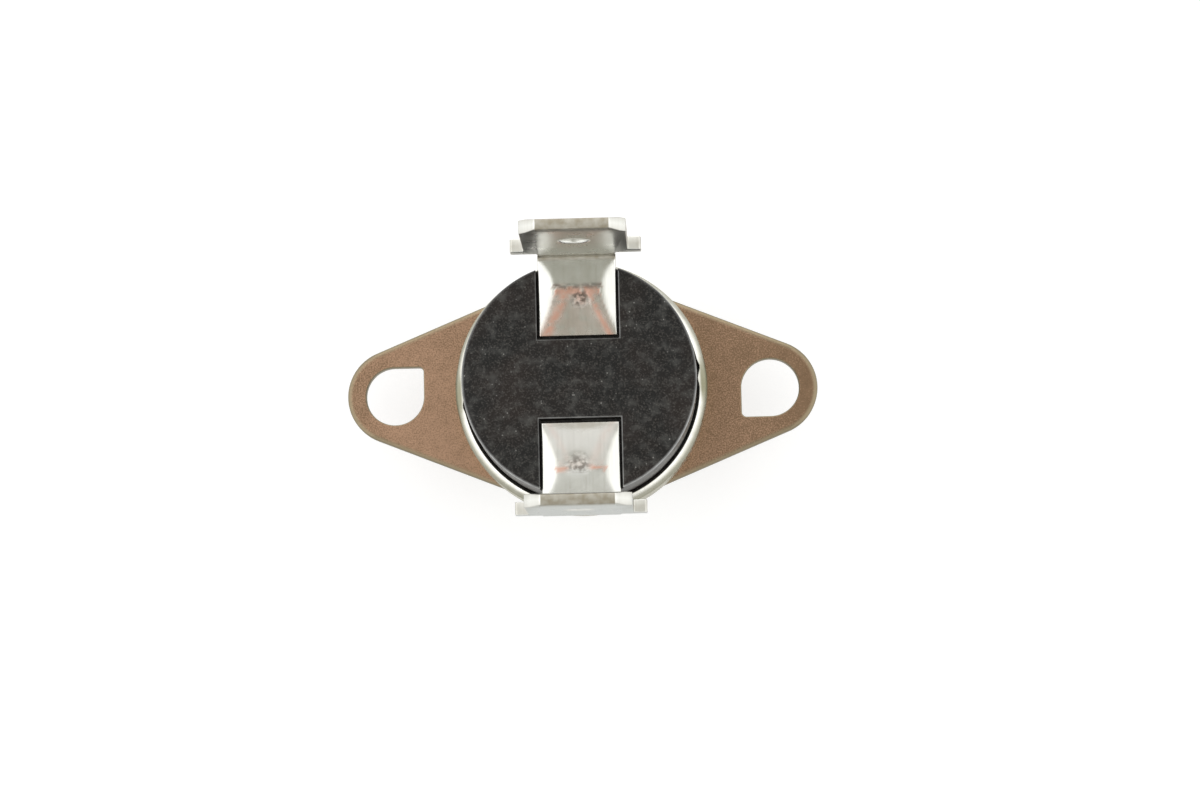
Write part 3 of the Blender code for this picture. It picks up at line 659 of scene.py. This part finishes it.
def crimp_kinks(bm, settings):
    """Presses the rim down and swings its lip at each kink: in at the kink itself, and out 6 degrees past it.

    Widths along the rim are in degrees.
    """
    for vert in bm.verts:
        radius = vert.co.xy.length
        if vert.co.z < CAP_HIGH.z - settings.roll or radius < CAP_HIGH.x - settings.wall - 1.5 * settings.lip:
            continue
        inward = (CAP_HIGH.x - radius) / (settings.wall + settings.lip)
        for at, share in KINKS:
            off = degrees_past(vert.co, at)
            move = settings.kink * share * (1.2 * bell(off - 6, 2.2) - bell(off, 2.4)) * max(inward, 0)
            vert.co.x *= 1 + move / radius
            vert.co.y *= 1 + move / radius
            hollow = math.exp(-((off / 7) ** 4)) * math.sin(math.pi * clamped(inward))
            vert.co.z -= settings.kink_drop * share * hollow


def mark_track_and_shade(bm, settings):
    """Marks how dull the cup is, and its painted shade: its walls, and the rim's outer part, less to the north and
    more at a kink.
    """
    track = bm.verts.layers.float.new("track")
    lip = CAP_HIGH.x - settings.wall - settings.lip
    for vert in bm.verts:
        radius = vert.co.xy.length
        if vert.co.z < CAP_HIGH.z - settings.roll or radius < lip - MERGE:
            vert[track] = WALL_DULLNESS
            continue
        kinked = max(share * math.exp(-((degrees_past(vert.co, at) / 9) ** 4)) for at, share in KINKS)
        bright = settings.bright * (1 - 0.8 * kinked)
        outward = clamped((radius - lip - bright) / settings.bright + 0.5)
        north = max(vert.co.y / radius, 0)
        vert[track] = outward * (1 - 0.5 * north) * (0.75 + 0.25 * kinked)


def fold_lengths(settings, one):
    """Lengths along the blank: where the bend starts, how long it is, and where the tip ends."""
    start = TAB_HIGH.y + one.reach - settings.sheet - settings.bend - TAB_LOW.y
    bend = math.pi / 2 * (settings.bend + settings.sheet / 2)
    tip = start + bend + TAB_HIGH.z - (BODY_HIGH.z + settings.bend)
    return start, bend, tip


def blank_outline(settings, one):
    """The terminal's flat blank as (x, s) points, s running from the pad's end to the tip."""
    tip = fold_lengths(settings, one)[2]
    shoulder = tip - settings.tab_length
    base = shoulder - settings.wing_height
    pad, tab, wing = settings.pad_width / 2, settings.tab_width / 2, TAB_HIGH.x
    notch = settings.wing_height / 7
    right = [(pad, 0), (pad, base - notch)] + arc((pad + notch, base - notch), notch, 180, 90, 4)
    right += [(wing, base), (wing, shoulder - notch)]
    right += arc((wing - notch, shoulder - notch), notch, 0, 90, 4)
    right += [(tab, shoulder), (tab, tip - settings.tip_corner), (tab - settings.tip_corner, tip)]
    return right + [(-x, s) for x, s in reversed(right)]


def folded(settings, one, x, s, t):
    """Places a point of the blank; t is its height in the sheet, from the pad's underside."""
    start, bend, tip = fold_lengths(settings, one)
    sheet = settings.sheet
    from_tip = tip - s
    if from_tip < settings.tip_taper:
        thin = settings.tip_sheet / sheet
        t = sheet / 2 + (t - sheet / 2) * (thin + (1 - thin) * max(from_tip, 0) / settings.tip_taper)
    if s <= start:
        return Vector((x, TAB_LOW.y + s, BODY_HIGH.z - sheet + t))
    radius = settings.bend + sheet - t
    centre = Vector((x, TAB_LOW.y + start, BODY_HIGH.z + settings.bend))
    turn = (math.pi / 2 - settings.lean) * min((s - start) / bend, 1)
    outward = Vector((0, math.sin(turn), -math.cos(turn)))
    ahead = Vector((0, math.cos(turn), math.sin(turn)))
    return centre + outward * radius + ahead * max(s - start - bend, 0)


def pad_drop(settings, one, x, s):
    """How far the pad's face lies below its bend: it falls to its foot, and its sides slope away softly."""
    start = fold_lengths(settings, one)[0]
    crease, full = one.crease * start, start + settings.bend
    near = s / crease if s < crease else (full - s) / (full - crease)
    side = settings.side_width * math.sin(clamped(near) * math.pi / 2) ** 0.8
    over = max(abs(x) - (settings.pad_width / 2 - side), 0)
    soft = 0.45 * settings.side_width
    slide = over * over / (2 * soft) if over < soft else over - soft / 2
    drop = math.tan(settings.side_slope) * slide + math.tan(settings.rise) * (start - s)
    beyond = max(crease - s, 0) / crease
    return drop + math.tan(settings.foot_slope) * crease * (beyond**2 / 2 - beyond**8 / 8)


# Lines of edges across the bend, along the pad's length and over its width, for the fold and the pad's form.
BEND_CUTS, PAD_CUTS, WIDTH_CUTS = 14, 28, 40
# How quickly an edge counts as sheared as it turns from level, and the share of brass that shows on the wings, at
# the tip's corners, in the detent hole and where the pad's end is worn.
SHEARED, WING_BRASS, CORNER_BRASS, HOLE_BRASS, FOOT_BRASS = 1.6, 0.5, 0.28, 0.25, 0.75
# How sharply the worn patch ends, and the weld's depth, as a share of the edges' rounding.
WEAR_EDGE, WELD_DEPTH = 2.5, 0.6


def punched_blank(settings, one):
    """The flat blank with its detent hole, its edges rounded."""
    tip = fold_lengths(settings, one)[2]
    sheet, hole, sink = settings.sheet, settings.detent, settings.detent_sink
    obj = to_object("blank", raised(blank_outline(settings, one), 0, sheet))
    section = [(0, -CUT_OVERRUN), (hole + sink + CUT_OVERRUN, -CUT_OVERRUN)]
    section += arc((hole + sink, sink), sink, -90, -180, 5)[:-1]
    section += [(hole, sink), (hole, sheet - sink)]
    section += arc((hole + sink, sheet - sink), sink, 180, 90, 5)[1:]
    section += [(hole + sink + CUT_OVERRUN, sheet + CUT_OVERRUN), (0, sheet + CUT_OVERRUN)]
    place = Matrix.Translation((0, tip - settings.detent_drop, 0))
    cut_away(obj, [placed(turned(section, SMALL_STEPS), place)])
    bm = bmesh.new()
    bm.from_mesh(obj.data)
    bpy.data.objects.remove(obj, do_unlink=True)
    bevelled(bm, sharp_edges(bm), settings.edge, within=True)
    return bm


def terminal_mesh(settings, one):
    """Folds the blank up, forms its pad with the weld before the crease, and marks where the plating is gone and
    where a painted reflection lies along the bend.
    """
    start, bend, tip = fold_lengths(settings, one)
    sheet, detent = settings.sheet, settings.detent + settings.detent_sink
    bm = punched_blank(settings, one)
    across = [start + bend * i / BEND_CUTS for i in range(BEND_CUTS + 1)] + [tip - settings.tip_taper]
    across += [start * i / PAD_CUTS for i in range(1, PAD_CUTS)]
    for s in across:
        halve(bm, (0, s, 0), (0, 1, 0))
    for i in range(1, WIDTH_CUTS):
        halve(bm, (settings.pad_width / 2 * (2 * i / WIDTH_CUTS - 1), 0, 0), (1, 0, 0))
    halve(bm, (0, 0, sheet / 2), (0, 0, 1))
    for name in TERMINAL_MARKS:
        bm.verts.layers.float.new(name)
    copper, seam, weld, brass = (bm.verts.layers.float[name] for name in TERMINAL_MARKS)
    bm.normal_update()
    flat_tip = settings.tab_width / 2 - settings.tip_corner
    for vert in bm.verts:
        vert[brass] = 1 - min(abs(vert.normal.z) * SHEARED, 1)
        x, s, t = vert.co
        if abs(x) > settings.tab_width / 2 + MERGE:
            vert[brass] *= WING_BRASS
        if abs(x) > TAB_HIGH.x - MERGE and abs(t - sheet / 2) < MERGE:
            x -= math.copysign(settings.pinch, x)
        if s > tip - settings.tip_taper:
            vert[brass] = 1
        if s > tip - settings.tip_corner - settings.edge and abs(x) > flat_tip - settings.edge:
            vert[brass] = CORNER_BRASS * abs(2 * t / sheet - 1)
        if math.hypot(x, s - tip + settings.detent_drop) < detent + MERGE:
            vert[brass] *= HOLE_BRASS
        vert.co = folded(settings, one, x, s, t)
        if t > sheet / 2 and s < start:
            vert.co.z -= pad_drop(settings, one, x, s)
            vert[copper], vert[seam], vert[weld] = weld_marks(settings, one, x, s)
            vert.co.z -= WELD_DEPTH * settings.edge * vert[weld]
            worn = WEAR_EDGE * (1 - (2 * x / settings.pad_width) ** 2 - s / settings.foot_wear)
            vert[brass] = max(vert[brass], FOOT_BRASS * (1 - one.scorch) * min(worn, 1))
        # Painted reflection: the bend's inner face takes the brass colour, for the olive it mirrors there.
        elif t > sheet / 2 and s < start + bend:
            vert[brass] = max(vert[brass], math.sin(math.pi * (s - start) / bend) ** 0.5)
    return bm


def weld_marks(settings, one, x, s):
    """Strength of the copper tint along the pad's folds, of the mark along its crease, and of the weld.

    Widths and places are shares of the pad's half width.
    """
    half = settings.pad_width / 2
    crease = one.crease * fold_lengths(settings, one)[0]
    near = clamped(s / crease)
    fold = half - settings.side_width * near
    inside = abs(x) < fold
    # The weld: round, a little off the middle, and gone just past the crease.
    spot = math.exp(-(((x - 0.07 * half) ** 2 + (s - crease * one.weld_at) ** 2) / one.weld**2) ** 2)
    spot *= clamped((crease - s) / (0.12 * half) + 1)
    # The mark along the crease, which bows towards the weld.
    bow = crease - 0.15 * (1 - one.scorch) * half * bell(x, 0.35 * half)
    line = (1 - spot) * bell(s - bow, 0.06 * half) * (abs(x) < fold + 0.12 * half)
    if s >= crease:
        return 0, line, spot
    # Copper: a streak beside each fold, wider to the west, a band under the crease, and a faint stain between.
    inset = half * (0.18 + 0.15 * near)
    streak = bell(abs(x) - fold + inset, (0.17 if x < 0 else 0.11) * half)
    band = bell(crease - s - 0.14 * half, 0.13 * half) * inside
    stain = 0.22 * inside * min((crease - s) / (0.1 * half), 1)
    crumpled = 0.5 * near * bell(abs(x) - fold + 0.07 * half, 0.07 * half)
    return min(max(streak, band, stain, 0.6 * spot), 1), max(line, crumpled * one.scorch), spot


def halve(bm, place, normal):
    """Adds a line of edges where a plane crosses the mesh."""
    geom = list(bm.verts) + list(bm.edges) + list(bm.faces)
    bmesh.ops.bisect_plane(bm, geom=geom, dist=MERGE, plane_co=place, plane_no=normal)


class SWITCH_OT_flange(bpy.types.Operator):
    """Models the two-hole mounting flange"""

    bl_idname = "switch.flange"
    bl_label = "Mounting flange"

    def execute(self, context):
        settings = context.scene.switch_flange
        low, high = FLANGE_LOW.z, FLANGE_HIGH.z
        obj = to_object("flange_plate", raised(flange_outline(settings), low, high))
        round_edges(obj, settings.roll, above=(low + high) / 2)
        for vert in obj.data.vertices:
            if vert.co.z > high - settings.roll - MERGE:
                vert.co.z = high - (high - vert.co.z) * settings.roll_depth
        east = Matrix.Translation((settings.pitch / 2, 0, 0)) @ Matrix.Rotation(math.pi, 4, "Z")
        west = Matrix.Translation((-settings.pitch / 2, 0, 0))
        cap = context.scene.switch_cap
        bore, sink = cap.radius + settings.bore_gap, cap.bead + settings.bore_gap
        section = [(0, low - CUT_OVERRUN), (bore + sink, low - CUT_OVERRUN), (bore + sink, low)]
        section += [(bore, low + cap.bead_height), (bore, high + CUT_OVERRUN), (0, high + CUT_OVERRUN)]
        holes = [placed(screw_hole(settings), place) for place in (west, east)]
        cut_away(obj, holes + [turned(section)])
        round_edges(obj, settings.burr)
        mark_slope(obj)
        dress(obj, passivated_steel(settings))
        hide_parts("mounting_flange")
        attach(obj, "housing")
        return {"FINISHED"}


class SWITCH_OT_cap(bpy.types.Operator):
    """Models the drawn sensing cap with its crimped rim"""

    bl_idname = "switch.cap"
    bl_label = "Sensing cap"

    def execute(self, context):
        settings = context.scene.switch_cap
        bm = turned(cap_section(settings), RIM_STEPS)
        crimp_kinks(bm, settings)
        mark_track_and_shade(bm, settings)
        obj = to_object("cap_shell", bm, drawn_aluminium(settings))
        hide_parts("sensing_cap")
        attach(obj, "housing")
        return {"FINISHED"}


# The bore for a rivet's shank, as a share of its head, the depth of the seat for the head, in sheets, and the room
# above the arm in metres.
SHANK_BORE, HEAD_SINK, ARM_ROOM = 0.59, 0.79, 0.0014


class SWITCH_OT_body(bpy.types.Operator):
    """Models the moulded body with its terminal pockets and contact chamber"""

    bl_idname = "switch.body"
    bl_label = "Moulded body"

    def execute(self, context):
        settings = context.scene.switch_body
        terminal = context.scene.switch_terminal
        lower, top, chamfer = BODY_HIGH.x, BODY_HIGH.z, settings.chamfer
        shoulder = CAP_HIGH.z - settings.rim_gap
        section = [(0, BODY_LOW.z), (lower, BODY_LOW.z), (lower, shoulder), (settings.radius, shoulder)]
        section += [(settings.radius, top - chamfer), (settings.radius - chamfer, top), (0, top)]
        obj = to_object("body_moulding", turned(section))
        half = terminal.pad_width / 2 + settings.pocket_margin
        near, far = TAB_LOW.y - settings.foot_margin, lower + CUT_OVERRUN
        gap = settings.pocket_margin / 2
        floor = RIVET_HIGH.z
        rivet_y = (RIVET_LOW.y + RIVET_HIGH.y) / 2
        head, shank = RIVET_HIGH.x + gap, RIVET_HIGH.x * SHANK_BORE
        head_floor = floor - terminal.sheet * HEAD_SINK
        tools = []
        for side in (1, -1):
            y = sorted((side * near, side * far))
            tools.append(block((-half, half), y, (floor, top + CUT_OVERRUN)))
            place = Matrix.Translation((0, side * rivet_y, 0))
            tools.append(placed(rod(head, head_floor, top), place))
            tools.append(placed(rod(shank, BODY_LOW.z - CUT_OVERRUN, top), place))
        chamber, reach = settings.chamber, ARM_LOW.y - gap
        height = (BODY_LOW.z - CUT_OVERRUN, ARM_HIGH.z + ARM_ROOM)
        tools.append(block((-chamber, chamber), (reach, -reach), height))
        cut_away(obj, tools)
        round_edges(obj, settings.pocket_edge)
        self.mark_rim_highlight(obj, settings)
        dress(obj, moulded_phenolic(settings))
        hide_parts("switch_body")
        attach(obj, "housing")
        return {"FINISHED"}

    def mark_rim_highlight(self, obj, settings):
        """Marks the painted grey highlight on the edges: the chamfer round the top, most to the south, and the
        pockets' edges.
        """
        mark = obj.data.attributes.new("rim", "FLOAT", "FACE")
        for face, value in zip(obj.data.polygons, mark.data):
            x, y, z = face.center
            # Only the faces near the top that are neither upright nor level lie on an edge there.
            if z < BODY_HIGH.z - 1.4 * settings.chamfer or not 0.2 < face.normal.z < 0.995:
                continue
            if math.hypot(x, y) > settings.radius - 2 * settings.chamfer:
                south = min(max(0.6 * (1 - y / settings.radius), 0.1), 1)
                value.value = south * min((1 - face.normal.z) / 0.3, 1)
            else:
                # A pocket's edge, with more painted highlight to the east.
                value.value = 0.35 if x > 0 else 0.15


class SWITCH_OT_terminals(bpy.types.Operator):
    """Models the two folded quick-connect terminals"""

    bl_idname = "switch.terminals"
    bl_label = "Terminals"

    def execute(self, context):
        settings = context.scene.switch_terminal
        for one in TERMINALS:
            bm = placed(terminal_mesh(settings, one), Matrix.Rotation(one.turn, 4, "Z"))
            obj = to_object(one.name, bm, tin_plate(settings, one))
            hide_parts(one.node)
            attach(obj, "housing")
        return {"FINISHED"}


class SWITCH_OT_pin(bpy.types.Operator):
    """Models the ceramic transfer pin with its domed ends"""

    bl_idname = "switch.pin"
    bl_label = "Transfer pin"

    def execute(self, context):
        settings = context.scene.switch_pin
        radius, dome, corner = PIN_HIGH.x, settings.dome, settings.corner
        # The rounding's centre lies inside the dome's circle by the rounding's own radius.
        edge = math.degrees(math.acos((radius - corner) / (dome - corner)))
        drop = dome - (dome - corner) * math.sin(math.radians(edge))
        top = arc((radius - corner, PIN_HIGH.z - drop), corner, 0, edge, 4)
        top += arc((0, PIN_HIGH.z - dome), dome, edge, 90, 12)[1:]
        middle = PIN_LOW.z + PIN_HIGH.z
        foot = [(r, middle - z) for r, z in reversed(top)]
        mat = inner_moulding("fired_ceramic", tuple(settings.ceramic), 0.4)
        obj = to_object("ceramic_pin", turned(foot + top, SMALL_STEPS), mat)
        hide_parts("transfer_pin")
        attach(obj, "pin")
        return {"FINISHED"}


class SWITCH_OT_inside(bpy.types.Operator):
    """Gives the other pieces shut inside the switch their finishes"""

    bl_idname = "switch.inside"
    bl_label = "Inner pieces"

    def execute(self, context):
        brass = inner_metal("turned_brass", linear("C7A35C"), 0.3)
        silver = inner_metal("contact_silver", linear("E6E4DE"), 0.22)
        finishes = {
            "bimetal_disc": inner_metal("rolled_bimetal", linear("A8A398"), 0.32),
            "disc_guide": inner_moulding("brown_phenolic", linear("3A2A20"), 0.45),
            "arm_rivet": brass,
            "contact_rivet": brass,
            "arm_washer": inner_metal("stamped_steel", linear("9B9B98"), 0.38),
            "contact_strip": inner_metal("brass_strip", linear("C9A864"), 0.3),
            "fixed_contact": silver,
            "moving_contact": silver,
            "contact_arm": inner_metal("beryllium_copper", linear("C58A63"), 0.26),
        }
        for name, mat in finishes.items():
            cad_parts[name].material_slots[0].material = mat
        return {"FINISHED"}


# The lamps that light the tent's walls: name, place, size and power.
SOFTBOXES = (
    ("tent_wall_west", (-0.41, 0, 0.287), (0.9, 0.95), 1.6),
    ("tent_wall_east", (0.41, 0, 0.287), (0.9, 0.95), 1.4),
    ("tent_wall_north", (0, 0.45, 0.23), (0.5, 0.55), 0.8),
)
# How bright the card shows straight on, how much less in a mirror, the room's plain light, and what metal
# mirrors of the tent's opening, all as shares of white.
CARD_GLOW, MIRROR_LOSS = 0.66, 0.15
ROOM_LIGHT, OPENING_LIGHT = (0.55, 0.55, 0.55), (0.42, 0.415, 0.36)


def softbox(name, place, size, power):
    """An area lamp that faces the switch."""
    lamp = bpy.data.lights.new(name, "AREA")
    lamp.shape = "RECTANGLE"
    lamp.size, lamp.size_y = size
    lamp.energy = power
    obj = linked(name, lamp)
    obj.location = place
    obj.rotation_euler = (-Vector(place)).to_track_quat("-Z", "Y").to_euler()


def seen_rays(tree, path):
    """Tells of a ray whether the camera sees by it, straight or mirrored, and whether it is mirrored."""
    mirrored = {0: path.outputs["Is Glossy Ray"], 1: path.outputs["Is Transmission Ray"]}
    mirrored = add(tree, "Math", mirrored, operation="MAXIMUM")
    camera = {0: path.outputs["Is Camera Ray"], 1: mirrored}
    return add(tree, "Math", camera, operation="MAXIMUM"), mirrored


class SWITCH_OT_stage(bpy.types.Operator):
    """Sets the table, the soft lamps, the room and the camera"""

    bl_idname = "switch.stage"
    bl_label = "Stage"

    def execute(self, context):
        settings = context.scene.switch_stage
        self.set_table(settings)
        self.set_room()
        self.set_camera(settings)
        for lamp in SOFTBOXES:
            softbox(*lamp)
        context.scene.view_settings.view_transform = "Standard"
        return {"FINISHED"}

    def set_table(self, settings):
        """White card: to the eye matt and shadeless white, but for the switch's own soft shadow."""
        bm = bmesh.new()
        bmesh.ops.create_grid(bm, x_segments=1, y_segments=1, size=2)
        mat, tree = material("matt_white_card")
        seen, mirrored = seen_rays(tree, add(tree, "LightPath"))
        glow = add(tree, "Math", {0: seen, 1: CARD_GLOW}, operation="MULTIPLY")
        glow = add(tree, "Math", {0: mirrored, 1: -MIRROR_LOSS, 2: glow}, operation="MULTIPLY_ADD")
        shader = {"Base Color": tuple(settings.paper), "Roughness": 0.9}
        shader = {**shader, "Emission Color": (1, 1, 1), "Emission Strength": glow}
        shader = add(tree, "BsdfPrincipled", shader)
        add(tree, "OutputMaterial", {"Surface": shader})
        to_object("table", bm, mat)

    def set_room(self):
        """A white tent that mirrors as grey overhead, where its opening is."""
        world = bpy.data.worlds.new("white_tent")
        bpy.context.scene.world = world
        world.use_nodes = True
        tree = world.node_tree
        tree.nodes.clear()
        way = add(tree, "TexCoord").outputs["Generated"]
        way = add(tree, "SeparateXYZ", {"Vector": way})
        # The opening lies overhead, a little to the east, and runs out of sight to the south.
        across = add(tree, "Math", {0: way.outputs["X"], 1: 0.03}, operation="SUBTRACT")
        across = add(tree, "Math", {0: across}, operation="ABSOLUTE")
        smooth = {"interpolation_type": "SMOOTHSTEP"}
        middle = {"Value": across, "From Min": 0.2, "From Max": 0.34, "To Min": 1, "To Max": 0}
        middle = add(tree, "MapRange", middle, **smooth)
        south = {"Value": way.outputs["Y"], "From Min": 0.04, "From Max": 0.36, "To Min": 1, "To Max": 0}
        south = add(tree, "MapRange", south, **smooth)
        above = {"Value": way.outputs["Z"], "From Min": 0.6, "From Max": 0.85}
        above = add(tree, "MapRange", above, **smooth)
        opening = add(tree, "Math", {0: middle, 1: south}, operation="MULTIPLY")
        opening = add(tree, "Math", {0: opening, 1: above}, operation="MULTIPLY")
        seen, mirrored = seen_rays(tree, add(tree, "LightPath"))
        opening = add(tree, "Math", {0: opening, 1: mirrored}, operation="MULTIPLY")
        tent = {"Factor": opening, "A": (1, 1, 1), "B": OPENING_LIGHT}
        tent = add(tree, "Mix", tent, data_type="RGBA")
        room = add(tree, "Mix", {"Factor": seen, "A": ROOM_LIGHT, "B": tent}, data_type="RGBA")
        back = add(tree, "Background", {"Color": room, "Strength": 1.0})
        add(tree, "OutputWorld", {"Surface": back})

    def set_camera(self, settings):
        """A long lens from above, leaning a little to the south and east."""
        data = bpy.data.cameras.new("camera")
        camera = linked("camera", data)
        data.lens = settings.lens
        data.sensor_width = 36
        data.clip_start = 0.01
        roll = Matrix.Rotation(settings.roll, 4, "Z")
        turn = roll @ Matrix.Rotation(-settings.tilt, 4, "X") @ Matrix.Rotation(-settings.pan, 4, "Y")
        place = Vector((settings.shift_x, settings.shift_y, settings.distance))
        lift = Matrix.Translation((0, 0, FLANGE_HIGH.z))
        camera.matrix_world = lift @ turn.inverted() @ Matrix.Translation(place)
        bpy.context.scene.camera = camera


class SWITCH_PT_panel(bpy.types.Panel):
    """Lists the switch's pieces"""

    bl_label = "High-limit switch"
    bl_idname = "SWITCH_PT_panel"
    bl_space_type = "VIEW_3D"
    bl_region_type = "UI"
    bl_category = "Switch"

    def draw(self, context):
        for name, group in SETTINGS.items():
            box = self.layout.box()
            for key in group.__annotations__:
                box.prop(getattr(context.scene, name), key)
        for operator in OPERATORS:
            self.layout.operator(operator.bl_idname)


SETTINGS = {
    "switch_flange": FlangeSettings,
    "switch_cap": CapSettings,
    "switch_body": BodySettings,
    "switch_terminal": TerminalSettings,
    "switch_pin": PinSettings,
    "switch_stage": StageSettings,
}

OPERATORS = (
    SWITCH_OT_flange,
    SWITCH_OT_cap,
    SWITCH_OT_body,
    SWITCH_OT_terminals,
    SWITCH_OT_pin,
    SWITCH_OT_inside,
    SWITCH_OT_stage,
)


def register():
    for name, group in SETTINGS.items():
        bpy.utils.register_class(group)
        setattr(bpy.types.Scene, name, bpy.props.PointerProperty(type=group))
    for operator in OPERATORS:
        bpy.utils.register_class(operator)
    bpy.utils.register_class(SWITCH_PT_panel)


def unregister():
    bpy.utils.unregister_class(SWITCH_PT_panel)
    for operator in reversed(OPERATORS):
        bpy.utils.unregister_class(operator)
    for name, group in reversed(SETTINGS.items()):
        delattr(bpy.types.Scene, name)
        bpy.utils.unregister_class(group)


def main():
    """Makes the switch and its stage."""
    register()
    bpy.ops.switch.flange()
    bpy.ops.switch.cap()
    bpy.ops.switch.body()
    bpy.ops.switch.terminals()
    bpy.ops.switch.pin()
    bpy.ops.switch.inside()
    bpy.ops.switch.stage()


if __name__ == "__main__":
    main()
